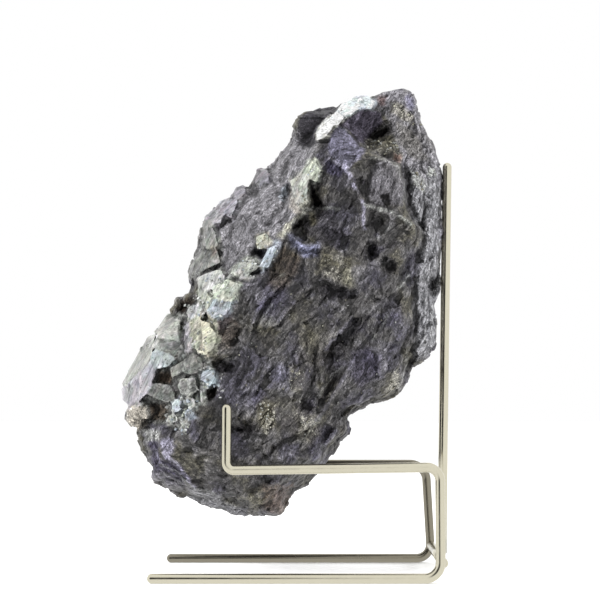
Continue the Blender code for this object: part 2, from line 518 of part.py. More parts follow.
def side_sheet(lines, spots):
    """Triangulate one side of the specimen from its outline, lines and spots; the outline comes first."""
    flat = [Vector((across, down)) for across, down, _ in OUTLINE]
    deep = [towards for _, _, towards in OUTLINE]
    edges = []
    for line in lines.values():
        start = len(flat)
        for across, down, towards in line:
            flat.append(Vector((across, down)))
            deep.append(towards)
        edges += [(start + step, start + step + 1) for step in range(len(line) - 1)]
    for across, down, towards in spots:
        flat.append(Vector((across, down)))
        deep.append(towards)
    border = list(range(len(OUTLINE)))
    found, _, faces, sources, _, _ = delaunay_2d_cdt(flat, edges, [border], 1, 1e-4)
    depths = []
    for point, source in zip(found, sources):
        inputs = [index for index in source if index < len(deep)]
        if inputs:
            depths.append(deep[inputs[0]])
            continue
        near = sorted(range(len(flat)), key=lambda index: (flat[index] - point).length)[:3]
        weights = [1.0 / ((flat[index] - point).length + 0.1) for index in near]
        depths.append(sum(deep[index] * weight for index, weight in zip(near, weights)) / sum(weights))
    return found, depths, faces


def rim_spots(side, lines, spots):
    """Points a little inside the outline that round its edge over towards one side."""
    taken = [Vector(point[:2]) for line in lines.values() for point in line]
    taken += [Vector(point[:2]) for point in spots]
    count = len(OUTLINE)
    found = []
    for index, (across, down, towards) in enumerate(OUTLINE):
        before, after = Vector(OUTLINE[index - 1][:2]), Vector(OUTLINE[(index + 1) % count][:2])
        along = (after - before).normalized()
        inward = Vector((-along.y, along.x))
        point = Vector((across, down)) + inward * RIM_INWARD
        if min((point - other).length for other in taken) > RIM_FREE:
            found.append((point.x, point.y, towards + side * RIM_DEPTH))
    return found


def rough_specimen():
    """The closed block between the two sides, before its surface is broken up."""
    points, faces, border = [], [], {}
    for side, lines, spots in ((1, FRONT_LINES, FRONT_SPOTS), (-1, BACK_LINES, BACK_SPOTS)):
        flat, depths, triangles = side_sheet(lines, spots + rim_spots(side, lines, spots))
        numbers = []
        for point, depth in zip(flat, depths):
            key = (round(point.x, 3), round(point.y, 3))
            on_edge = any((point - Vector(edge[:2])).length < 1e-3 for edge in OUTLINE)
            if on_edge and key in border:
                numbers.append(border[key])
                continue
            if on_edge:
                border[key] = len(points)
            numbers.append(len(points))
            points.append(place(point.x, point.y, depth))
        for triangle in triangles:
            corners = [numbers[corner] for corner in triangle]
            faces.append(corners if side > 0 else corners[::-1])
    mesh = mesh_of("rough specimen", points, faces)
    finish_mesh(mesh)
    return new_object("rough specimen", mesh)


def flake_height(point):
    """Tilted flakes, long along the streaks of the ore: each cell is one flat step of its own slope."""
    turned = Matrix.Rotation(STREAK_TILT, 3, "Y") @ point
    cell_space = Vector((turned.x, turned.y, turned.z / STREAK_STRETCH)) / FLAKE_SIZE
    _, seeds = noise.voronoi(cell_space)
    chance = random.Random(hash((round(seeds[0].x, 4), round(seeds[0].y, 4), round(seeds[0].z, 4))))
    slope = Vector((chance.uniform(-1, 1), chance.uniform(-1, 1), chance.uniform(-1, 1)))
    return (cell_space - seeds[0]).dot(slope) + chance.uniform(-FLAKE_OFFSET, FLAKE_OFFSET)


def run_distance(spot, run):
    """Distance from a picture position to a run of lines, with its sign: plus on the right-hand side."""
    best, side = 1e9, 1.0
    for start, stop in zip(run, run[1:]):
        along = stop - start
        part = max(0.0, min(1.0, (spot - start).dot(along) / along.length_squared))
        gap = spot - (start + along * part)
        if gap.length < best:
            best = gap.length
            side = 1.0 if gap.dot(Vector((-along.y, along.x))) >= 0 else -1.0
    return best * side


def stroke_height(spot, strokes):
    """Height that the long features add at a picture position, in millimetres."""
    total = 0.0
    for kind, half, height, run, low, high in strokes:
        if not (low.x - half < spot.x < high.x + half and low.y - half < spot.y < high.y + half):
            continue
        gap = run_distance(spot, run)
        near = max(0.0, 1.0 - abs(gap) / half)
        if kind == "ridge":
            total += height * near
        elif kind == "groove":
            total -= height * min(1.0, GROOVE_FLOOR * near)
        elif gap >= 0:
            total -= height * near
        else:
            total += STEP_CREST * height * near
    return total


def draw_strokes(mesh):
    """Press the long features into the near side, along the viewing direction."""
    strokes = []
    for kind, half, height, run in STROKES.values():
        points = [Vector(point) for point in run]
        low = Vector((min(point.x for point in points), min(point.y for point in points)))
        high = Vector((max(point.x for point in points), max(point.y for point in points)))
        strokes.append((kind, half, height, points, low, high))
    moved = []
    for vertex in mesh.vertices:
        facing = max(0.0, min(1.0, -vertex.normal.y * STROKE_FACING)) if vertex.co.y < STROKE_END else 0.0
        lift = stroke_height(seen(vertex.co), strokes) * facing if facing else 0.0
        moved.append(vertex.co + Vector((0, -lift * MM, 0)))
    for vertex, target in zip(mesh.vertices, moved):
        vertex.co = target


def break_surface(mesh):
    """Push the surface in and out: broad swells, tilted flakes and short hackles."""
    moved = []
    for vertex in mesh.vertices:
        place_now = vertex.co.copy()
        turned = Matrix.Rotation(STREAK_TILT, 3, "Y") @ place_now
        hackle = Vector((turned.x, turned.y, turned.z / STREAK_STRETCH)) / HACKLE_SIZE
        lift = SWELL_DEPTH * noise.noise(place_now / SWELL_SIZE + NOISE_START)
        lift += FLAKE_DEPTH * flake_height(place_now)
        lift += HACKLE_DEPTH * (0.5 - abs(noise.noise(hackle + NOISE_START)) * 2.0)
        moved.append(place_now + vertex.normal * lift)
    for vertex, target in zip(mesh.vertices, moved):
        vertex.co = target


def hull(name, points):
    """Closed solid with flat faces around the given points."""
    shape = bmesh.new()
    for point in points:
        shape.verts.new(point)
    made = bmesh.ops.convex_hull(shape, input=shape.verts)
    unused = set(made["geom_interior"] + made["geom_unused"])
    loose = [item for item in unused if isinstance(item, bmesh.types.BMVert)]
    bmesh.ops.delete(shape, geom=loose, context="VERTS")
    mesh = bpy.data.meshes.new(name)
    shape.to_mesh(mesh)
    shape.free()
    finish_mesh(mesh)
    return new_object(name, mesh)


def lump(name, middle, halves, chance):
    """Rounded knob with a few uneven flats."""
    centre = place(*middle)
    points = []
    across, up, deep = halves
    for ring in range(1, LUMP_RINGS):
        angle = math.pi * ring / LUMP_RINGS
        for step in range(LUMP_FLATS):
            turn = 2 * math.pi * (step + 0.5 * (ring % 2)) / LUMP_FLATS
            level = Vector((math.cos(turn) * across, math.sin(turn) * deep, 0)) * math.sin(angle)
            spread = level + Vector((0, 0, math.cos(angle) * up))
            points.append(centre + spread * chance.uniform(*LUMP_UNEVEN) * MM)
    return hull(name, points)


def wire(name, path, bends, radius, rounded=(True, True)):
    """Round wire along a path in a plane of constant Y, with a bend radius at every inner corner.

    The cross-section has a flat facing each way across the path, so that a level run has a flat underside.
    """
    corners = [Vector(corner) for corner in path]
    centres = [corners[0]]
    for index in range(1, len(corners) - 1):
        corner, bend = corners[index], bends[index - 1]
        to_before = (corners[index - 1] - corner).normalized()
        to_after = (corners[index + 1] - corner).normalized()
        opening = to_before.angle(to_after)
        if bend <= 0:
            centres.append(corner)
            continue
        reach = bend / math.tan(opening / 2)
        middle = corner + (to_before + to_after).normalized() * (bend / math.sin(opening / 2))
        start, stop = corner + to_before * reach - middle, corner + to_after * reach - middle
        sweep = start.angle(stop)
        steps = max(3, round(sweep / BEND_STEP))
        for step in range(steps + 1):
            part = step / steps
            mixed = (start * math.sin((1 - part) * sweep) + stop * math.sin(part * sweep)) / math.sin(sweep)
            centres.append(middle + mixed)
    centres.append(corners[-1])

    rings = []
    count = len(centres)
    across = Vector((0, 1, 0))
    for index, centre in enumerate(centres):
        into = (centre - centres[index - 1]).normalized() if index else None
        out = (centres[index + 1] - centre).normalized() if index < count - 1 else None
        along = ((into or out) + (out or into)).normalized()
        normal = along.cross(across).normalized()
        rings.append((centre, along, normal, 1.0))
    for end, inward in ((0, 1), (-1, -1)):
        if not rounded[end]:
            continue
        centre, along, normal, _ = rings[end]
        dome = []
        for angle in ROUND_END_ANGLES + (math.pi / 2,):
            back = radius * (1 - math.cos(angle)) * inward
            dome.append((centre + along * back, along, normal, math.sin(angle)))
        rings = dome + rings[1:] if end == 0 else rings[:-1] + dome[::-1]

    sides = WIRE_SIDES
    outer = radius / math.cos(math.pi / sides)
    points, faces = [], []
    for centre, _, normal, swell in rings:
        for side in range(sides):
            angle = 2 * math.pi * (side + 0.5) / sides
            points.append(centre + (normal * math.cos(angle) + across * math.sin(angle)) * outer * swell)
    for ring in range(len(rings) - 1):
        for side in range(sides):
            low, high = ring * sides + side, ring * sides + (side + 1) % sides
            faces.append((low, high, high + sides, low + sides))
    faces.append(tuple(range(sides))[::-1])
    faces.append(tuple(range((len(rings) - 1) * sides, len(rings) * sides)))
    mesh = mesh_of(name, points, faces)
    finish_mesh(mesh)
    return new_object(name, mesh)


def cradle_path(side, foot_x):
    """Corners of one cradle wire: hook tip, arm, rear leg, foot rail."""
    y = side * CRADLE_SPACING / 2
    rail = WIRE_DIAMETER / 2
    return [
        (HOOK_X, y, ARM_HEIGHT + HOOK_HEIGHT),
        (HOOK_X, y, ARM_HEIGHT),
        (LEG_X, y, ARM_HEIGHT),
        (foot_x, y, rail),
        (FOOT_REACH_X, y, rail),
    ]


def cradle(name, side, foot_x, extra=0.0):
    """One cradle wire, or the same run made thicker as a cutter."""
    bends = [HOOK_BEND_RADIUS, REAR_BEND_RADIUS, FOOT_BEND_RADIUS]
    return wire(name, cradle_path(side, foot_x), bends, WIRE_DIAMETER / 2 + extra)


def post(name, extra=0.0):
    """The upright that the specimen leans on, from the top of the cross bar to its rounded tip."""
    foot = CROSS_BAR_HEIGHT + WIRE_DIAMETER / 2 + TOUCH_GAP
    path = [(POST_FOOT_X, 0, foot), (POST_ELBOW[0], 0, POST_ELBOW[1]), (POST_TOP[0], 0, POST_TOP[1])]
    return wire(name, path, [POST_BEND_RADIUS], WIRE_DIAMETER / 2 + extra, (False, True))


def cross_bar(name):
    """Straight bar between the two legs, just above the floor."""
    half = CRADLE_SPACING / 2 - WIRE_DIAMETER / 2 - TOUCH_GAP
    radius = WIRE_DIAMETER / 2
    outer = radius / math.cos(math.pi / WIRE_SIDES)
    points, faces = [], []
    for end in (-half, half):
        for side in range(WIRE_SIDES):
            angle = 2 * math.pi * (side + 0.5) / WIRE_SIDES
            across, up = outer * math.sin(angle), outer * math.cos(angle)
            points.append((POST_FOOT_X + across, end, CROSS_BAR_HEIGHT + up))
    for side in range(WIRE_SIDES):
        low, high = side, (side + 1) % WIRE_SIDES
        faces.append((low, high, high + WIRE_SIDES, low + WIRE_SIDES))
    faces.append(tuple(range(WIRE_SIDES)))
    faces.append(tuple(range(WIRE_SIDES, 2 * WIRE_SIDES))[::-1])
    mesh = mesh_of(name, points, faces)
    finish_mesh(mesh)
    return new_object(name, mesh)


def fit_box(mesh):
    """Scale the specimen to its named sizes, keeping its lowest point and the edge on the post's side."""
    low = Vector([min(vertex.co[axis] for vertex in mesh.vertices) for axis in range(3)])
    high = Vector([max(vertex.co[axis] for vertex in mesh.vertices) for axis in range(3)])
    wanted = Vector((SPECIMEN_WIDTH, SPECIMEN_THICKNESS, SPECIMEN_HEIGHT))
    anchor = Vector((high.x, (low.y + high.y) / 2, low.z))
    for vertex in mesh.vertices:
        for axis in range(3):
            scale = wanted[axis] / (high[axis] - low[axis])
            vertex.co[axis] = anchor[axis] + (vertex.co[axis] - anchor[axis]) * scale


def fewer_faces(made, wanted, beyond):
    """Collapse faces down to a number, touching only the points beyond a given Y."""
    group = made.vertex_groups.new(name="free to collapse")
    group.add([vertex.index for vertex in made.data.vertices if vertex.co.y > beyond], 1.0, "REPLACE")
    fewer = made.modifiers.new("Fewer faces", "DECIMATE")
    fewer.ratio = wanted / len(made.data.polygons)
    fewer.use_collapse_triangulate = True
    fewer.vertex_group = group.name
    fewer.vertex_group_factor = 1.0
    apply_modifiers(made)
    made.vertex_groups.clear()


def specimen():
    """Ore and crystals as one solid."""
    body = rough_specimen()
    remesh = body.modifiers.new("Even cells", "REMESH")
    remesh.mode = "VOXEL"
    remesh.voxel_size = SURFACE_CELL
    apply_modifiers(body)
    finish_mesh(body.data)
    break_surface(body.data)
    body.data.update()
    draw_strokes(body.data)
    fewer_faces(body, EVEN_FACES, -1.0)
    fewer_faces(body, SPECIMEN_FACES, NEAR_SIDE_END)
    finish_mesh(body.data)
    chance = random.Random(SEED)
    for name, corners in CRYSTALS.items():
        boolean(body, hull(name, [place(*corner) for corner in corners]), "UNION")
    for name, (middle, halves) in LUMPS.items():
        boolean(body, lump(name, middle, halves, chance), "UNION")
    fit_box(body.data)
    for side, foot_x in ((-1, LEG_X), (1, FAR_LEG_FOOT_X)):
        boolean(body, cradle("clearance", side, foot_x, TOUCH_GAP), "DIFFERENCE")
    boolean(body, post("clearance", TOUCH_GAP), "DIFFERENCE")
    finish_mesh(body.data)
    keep_largest(body.data)
    body.name = "specimen"
    return body


def colour(made, name, rgb, metallic, roughness):
    """Give an object its own plain material."""
    material = bpy.data.materials.new(name)
    material.use_nodes = True
    shader = material.node_tree.nodes["Principled BSDF"]
    shader.inputs["Base Color"].default_value = (*rgb, 1)
    shader.inputs["Metallic"].default_value = metallic
    shader.inputs["Roughness"].default_value = roughness
    made.data.materials.clear()
    made.data.materials.append(material)


def main():
    """Build every piece, then set the whole on its centre."""
    for old in list(bpy.data.objects):
        bpy.data.objects.remove(old)
    pieces = [
        specimen(),
        cradle("near_cradle_wire", -1, LEG_X),
        cradle("far_cradle_wire", 1, FAR_LEG_FOOT_X),
        post("back_post"),
        cross_bar("cross_bar"),
    ]
    corners = [Vector(corner) for made in pieces for corner in made.bound_box]
    middle = Vector((0, 0, 0))
    for axis in range(2):
        values = [corner[axis] for corner in corners]
        middle[axis] = (min(values) + max(values)) / 2
    for made in pieces:
        made.data.transform(Matrix.Translation(-middle))
        made.data.update()
        print(made.name, len(made.data.polygons), "triangles")
    for made in pieces[1:]:
        made.data.shade_smooth()
        made.data.set_sharp_from_angle(angle=WIRE_SHARP_ANGLE)
    colour(pieces[0], "skutterudite ore", (0.075, 0.072, 0.085), 0.35, 0.42)
    for made in pieces[1:]:
        colour(made, "nickel plated wire", (0.72, 0.69, 0.60), 1.0, 0.24)


main()
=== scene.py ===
"""Looks of the skutterudite specimen and its wire stand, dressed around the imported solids.

Metres, in the frame's own axes: X towards the back post, Y away from the viewer, Z up. Lists that place
something on the near side hold picture positions, across and down, and millimetres towards the viewer.
"""

import logging
import math
from dataclasses import dataclass, field
from enum import Enum
from itertools import product
from typing import Any, Sequence

import bmesh
import bpy
import numpy as np
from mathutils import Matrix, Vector


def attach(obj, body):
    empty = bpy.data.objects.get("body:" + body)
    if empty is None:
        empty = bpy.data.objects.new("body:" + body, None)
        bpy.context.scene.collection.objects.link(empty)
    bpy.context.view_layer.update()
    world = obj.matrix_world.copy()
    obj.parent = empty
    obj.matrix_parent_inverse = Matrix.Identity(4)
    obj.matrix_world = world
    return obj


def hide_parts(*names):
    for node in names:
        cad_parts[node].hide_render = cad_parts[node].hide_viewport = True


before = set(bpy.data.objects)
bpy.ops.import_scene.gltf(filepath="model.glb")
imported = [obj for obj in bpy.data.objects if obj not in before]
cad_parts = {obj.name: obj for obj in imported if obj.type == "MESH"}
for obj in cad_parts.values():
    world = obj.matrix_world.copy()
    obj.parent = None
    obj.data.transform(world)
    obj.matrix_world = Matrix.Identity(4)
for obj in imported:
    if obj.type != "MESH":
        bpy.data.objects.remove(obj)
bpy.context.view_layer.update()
LOG = logging.getLogger("specimen")
MM = 0.001
Array = np.ndarray
Spot = tuple[float, float]
Corner = tuple[float, float, float]
Range = tuple[float, float, float, float]
Ring = tuple[Vector, Vector, float]
# Farther than anything in the picture, and the least number that is divided by
FAR, TINY = 1e9, 1e-9
# Pixels over which an area's edge fades to either side, unless it says otherwise
SOFT_EDGE = 2.5


class Tint(Enum):
    """Colours of the ore, its crystals and its stains, and of the painted shade and painted light on the near
    side, as sRGB.
    """

    ORE = "#5c5a5a"
    DARK_ORE = "#403e42"
    VIOLET = "#524f62"
    LILAC = "#7c7a8f"
    PALE_LILAC = "#aaa7bd"
    GREY_LILAC = "#918f94"
    OLIVE = "#68644f"
    CREAM = "#c5c3b0"
    GREEN_WHITE = "#b7bcb0"
    SILVER = "#b8b9b6"
    STEEL = "#9a9c98"
    BLUE_WHITE = "#b4bdc7"
    ICE = "#c9dada"
    WHITE = "#dfe2df"
    SNOW = "#f4f3ea"
    PALE_ICE = "#e2f0f0"
    PINK_BEIGE = "#bcb5a9"
    PEACH = "#bd9f84"
    BROWN = "#57493b"
    DARK_BROWN = "#33291f"
    BLACK = "#1a1817"
    TAN = "#857362"
    RUST = "#9a5f50"
    RIM = "#98989c"
    ASH = "#79777c"
    PLUM = "#605b68"
    CHAR = "#37353a"
    NAVY = "#2b2c38"
    FACET = "#afb0ab"
    FACET_BLUE = "#a8b0b2"
    FACET_LILAC = "#a9a6ad"
    FACET_DARK = "#7a7b77"
    PALE_CREAM = "#b2b2a2"
    KHAKI = "#8a8675"
    GRAIN = "#8f8d84"
    BLUE_VIOLET = "#7f8199"
    DARK_VIOLET = "#454154"


class Relief(Enum):
    """How a stroke changes the surface along its run."""

    RIDGE = "ridge"
    GROOVE = "groove"
    STEP = "step"


def linear(code: str) -> tuple[float, float, float]:
    """Turn an sRGB hex colour into linear red, green and blue.

    Args:
        code: The colour as "#rrggbb".

    Returns:
        Three linear values from 0 to 1.
    """
    parts = [int(code[place:place + 2], 16) / 255 for place in (1, 3, 5)]
    return tuple(part / 12.92 if part <= 0.04045 else ((part + 0.055) / 1.055) ** 2.4 for part in parts)


def smoothstep(low: float, high: float, value: Array) -> Array:
    """Ease from 0 at low to 1 at high.

    Args:
        low: Value that gives 0.
        high: Value that gives 1; it may be below low.
        value: Any array.

    Returns:
        The eased array.
    """
    part = np.clip((value - low) / (high - low), 0.0, 1.0)
    return part * part * (3.0 - 2.0 * part)


def unit(vectors: Array) -> Array:
    """Rows scaled to length 1."""
    return vectors / np.maximum(np.linalg.norm(vectors, axis=-1, keepdims=True), TINY)


@dataclass(frozen=True)
class Viewpoint:
    """The picture's eye, and how picture positions and real places map onto each other."""

    # Focal length and middle of the picture in pixels
    focal: float = 1171.0
    centre: float = 300.0
    eye: Corner = (0.00414, -0.4015, 0.0507)
    tilt: float = math.radians(5.9)
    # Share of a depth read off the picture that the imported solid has
    depth_fit: float = 0.9696
    sensor_mm: float = 36.0

    def seen(self, points: Array) -> Array:
        """Picture positions of real places.

        Args:
            points: Places in metres, one per row.

        Returns:
            Across and down, one pair per row.
        """
        away = points - np.array(self.eye)
        reach = away[:, 1] * math.cos(self.tilt) + away[:, 2] * math.sin(self.tilt)
        up = away[:, 2] * math.cos(self.tilt) - away[:, 1] * math.sin(self.tilt)
        across = self.centre + self.focal * away[:, 0] / reach
        return np.column_stack([across, self.centre - self.focal * up / reach])

    def place(self, corner: Corner) -> Vector:
        """Real place of a picture position.

        Args:
            corner: Across, down, and millimetres towards the viewer.

        Returns:
            The place in metres.
        """
        across, down, towards = corner
        right, up = (across - self.centre) / self.focal, (self.centre - down) / self.focal
        away = -self.eye[1] - towards * self.depth_fit * MM
        reach = away / (math.cos(self.tilt) - up * math.sin(self.tilt))
        height = self.eye[2] + reach * (math.sin(self.tilt) + up * math.cos(self.tilt))
        return Vector((self.eye[0] + right * reach, self.eye[1] + away, height))


VIEW = Viewpoint()


class LatticeNoise:
    """Seeded noise worked out for a whole array of points at once."""

    entries: int = 256
    # Brings the smooth noise to about -1 to 1
    gain: float = 1.7
    # A flake's slope comes from an entry so far from that of its height, and the heights differ by so much
    apart: int = 91
    step_height: float = 0.9

    def __init__(self, seed: int) -> None:
        """Shuffle the lattice.

        Args:
            seed: Number that fixes the pattern.
        """
        chance = np.random.default_rng(seed)
        table = chance.permutation(self.entries)
        self.table = np.concatenate([table, table, table])
        self.slopes = unit(chance.normal(size=(self.entries, 3)))
        self.jitter = chance.random((self.entries, 3))

    def keys(self, cells: Array) -> Array:
        """Look each lattice cell up.

        Args:
            cells: Whole numbers of cells, one row per cell.

        Returns:
            The number of its table entry.
        """
        cells = cells % self.entries
        first = self.table[cells[:, 0]] + cells[:, 1]
        return self.table[self.table[first] + cells[:, 2]]

    def smooth(self, points: Array) -> Array:
        """Gradient noise.

        Args:
            points: Places in cells, one per row.

        Returns:
            Values from about -1 to 1.
        """
        cells = np.floor(points).astype(np.int64)
        part = points - cells
        fade = part ** 3 * (part * (part * 6.0 - 15.0) + 10.0)
        total = np.zeros(len(points))
        for offset in np.ndindex(2, 2, 2):
            step = np.array(offset)
            slope = self.slopes[self.keys(cells + step)]
            weight = np.prod(np.where(step == 1, fade, 1.0 - fade), axis=1)
            total += weight * np.einsum("ij,ij->i", slope, part - step)
        return total * self.gain

    def vectors(self, points: Array, starts: Corner) -> Array:
        """Three smooth noises side by side, each started elsewhere."""
        return np.column_stack([self.smooth(points + start) for start in starts])

    def nearest(self, points: Array) -> tuple[Array, Array]:
        """Closest seed of a jittered lattice.

        Args:
            points: Places in cells, one per row.

        Returns:
            The gap from that seed to each point, and the seed's table entry.
        """
        cells = np.floor(points).astype(np.int64)
        best = np.full(len(points), FAR)
        gaps = np.zeros((len(points), 3))
        found = np.zeros(len(points), np.int64)
        for offset in np.ndindex(3, 3, 3):
            near = cells + np.array(offset) - 1
            keys = self.keys(near)
            away = points - (near + self.jitter[keys])
            distance = np.einsum("ij,ij->i", away, away)
            closer = distance < best
            best[closer] = distance[closer]
            gaps[closer] = away[closer]
            found[closer] = keys[closer]
        return gaps, found

    def flakes(self, points: Array) -> Array:
        """Tilted flats: each cell of a Voronoi split is one plane with its own slope and height.

        Args:
            points: Places in cells, one per row.

        Returns:
            Heights from about -1 to 1.
        """
        gaps, keys = self.nearest(points)
        plane = np.einsum("ij,ij->i", gaps, self.slopes[(keys + self.apart) % self.entries])
        return plane + self.step_height * (self.jitter[keys, 1] - 0.5)


def shape_distance(spots: Array, outline: Sequence[Spot]) -> Array:
    """Signed distance to a closed outline.

    Args:
        spots: Picture positions, one per row.
        outline: The outline's corners in order.

    Returns:
        Distance in picture pixels, below zero inside.
    """
    inside = np.zeros(len(spots), bool)
    best = np.full(len(spots), FAR)
    for start, stop in zip(outline, list(outline[1:]) + [outline[0]]):
        start, stop = np.array(start, float), np.array(stop, float)
        best = np.minimum(best, run_distance(spots, start, stop)[0])
        crosses = (start[1] > spots[:, 1]) != (stop[1] > spots[:, 1])
        rise = stop[1] - start[1] or TINY
        edge = start[0] + (spots[:, 1] - start[1]) * (stop[0] - start[0]) / rise
        inside ^= crosses & (spots[:, 0] < edge)
    return np.where(inside, -best, best)


def run_distance(spots: Array, start: Array, stop: Array) -> tuple[Array, Array]:
    """Distance to one straight run.

    Args:
        spots: Picture positions, one per row.
        start: First end.
        stop: Second end.

    Returns:
        The distance, and the side as a signed number.
    """
    along = stop - start
    part = np.clip((spots - start) @ along / (along @ along), 0.0, 1.0)
    gap = spots - start - part[:, None] * along
    return np.hypot(gap[:, 0], gap[:, 1]), gap[:, 0] * -along[1] + gap[:, 1] * along[0]


@dataclass(frozen=True)
class Patch:
    """An area of the near side with a colour, which may also stand out or be sunk. A dark sunk area carries
    painted shade, and some pale areas carry painted light.
    """

    tint: Tint
    outline: tuple[Spot, ...]
    # Share of the tint in the middle of the area
    strength: float = 0.8
    # How far it stands out, or is sunk where that is below zero
    lift_mm: float = 0.0
    # 0 is soot-black ore, 0.1 plain ore, and 1 a bright crystal face
    lustre: float = 0.0
    # Pixels over which its edge fades to either side
    soft: float = SOFT_EDGE
    # Share of bright grains, which are partly painted glints
    speck: float = 0.0
    # How much of the roughness is smoothed away
    calm: float = 0.0
    # How far it is pushed out to the right
    side_mm: float = 0.0
    # How far behind the middle it goes on, where it wraps over to the back
    behind_mm: float = 0.0

    def weight(self, spots: Array, wander: Array) -> Array:
        """How much of the patch each position has.

        Args:
            spots: Picture positions, one per row.
            wander: Pixels by which the edge strays at each position.

        Returns:
            Weights from 0 to 1.
        """
        corners = np.array(self.outline, float)
        margin = 2 * self.soft + 3
        low, high = corners.min(0) - margin, corners.max(0) + margin
        near = np.all((spots > low) & (spots < high), axis=1)
        weights = np.zeros(len(spots))
        gap = shape_distance(spots[near], self.outline) + wander[near]
        weights[near] = smoothstep(self.soft, -self.soft, gap)
        return weights


# A stroke's tint and a groove's floor are full over part of its width, and a step's upper side swells
TINT_SPREAD, GROOVE_FLOOR, STEP_CREST = 1.5, 1.6, 0.4
# Share of a stroke's height that is added, because the solid has the rest, and of its tint
HEIGHT_SHARE = {Relief.RIDGE: 0.5, Relief.GROOVE: 0.3, Relief.STEP: 0.5}
TINT_SHARE = {Relief.RIDGE: 0.28, Relief.GROOVE: 0.45, Relief.STEP: 0.28}


@dataclass(frozen=True)
class Stroke:
    """A narrow feature of the near side: a ridge, a crack or the edge of a step. A crack's tint and the tint
    on a step's sunk side are painted shade, and a ridge's pale tint is partly the ore's pale bands and partly
    painted highlight.
    """

    relief: Relief
    # Half its width in pixels
    half: float
    height_mm: float
    run: tuple[Spot, ...]
    # Cracks are black unless they say otherwise: painted shade
    tint: Tint = Tint.BLACK
    # How strongly the tint shows, 1 being usual
    show: float = 1.0

    def weight(self, spots: Array) -> tuple[Array, Array]:
        """Height and colour share of the stroke at each position.

        Args:
            spots: Picture positions, one per row.

        Returns:
            Height in millimetres, and weight from 0 to 1.
        """
        corners = np.array(self.run, float)
        low, high = corners.min(0) - self.half, corners.max(0) + self.half
        near = np.flatnonzero(np.all((spots > low) & (spots < high), axis=1))
        best, side = np.full(len(near), FAR), np.ones(len(near))
        for start, stop in zip(corners, corners[1:]):
            gap, turn = run_distance(spots[near], start, stop)
            closer = gap < best
            best, side = np.where(closer, gap, best), np.where(closer, turn, side)
        share = np.clip(1.0 - best / self.half, 0.0, 1.0)
        height, weight = np.zeros(len(spots)), np.zeros(len(spots))
        weight[near] = np.minimum(1.0, share * TINT_SPREAD)
        if self.relief is Relief.RIDGE:
            height[near] = self.height_mm * share
        elif self.relief is Relief.GROOVE:
            height[near] = -self.height_mm * np.minimum(1.0, share * GROOVE_FLOOR)
        else:
            # A step's tint lies only on its sunk side, as painted shadow
            height[near] = self.height_mm * share * np.where(side >= 0, -1.0, STEP_CREST)
            weight[near] = np.where(side >= 0, weight[near], 0.0)
        return height, weight


# The kinds of stroke, for the rows below
R, G, S = Relief.RIDGE, Relief.GROOVE, Relief.STEP
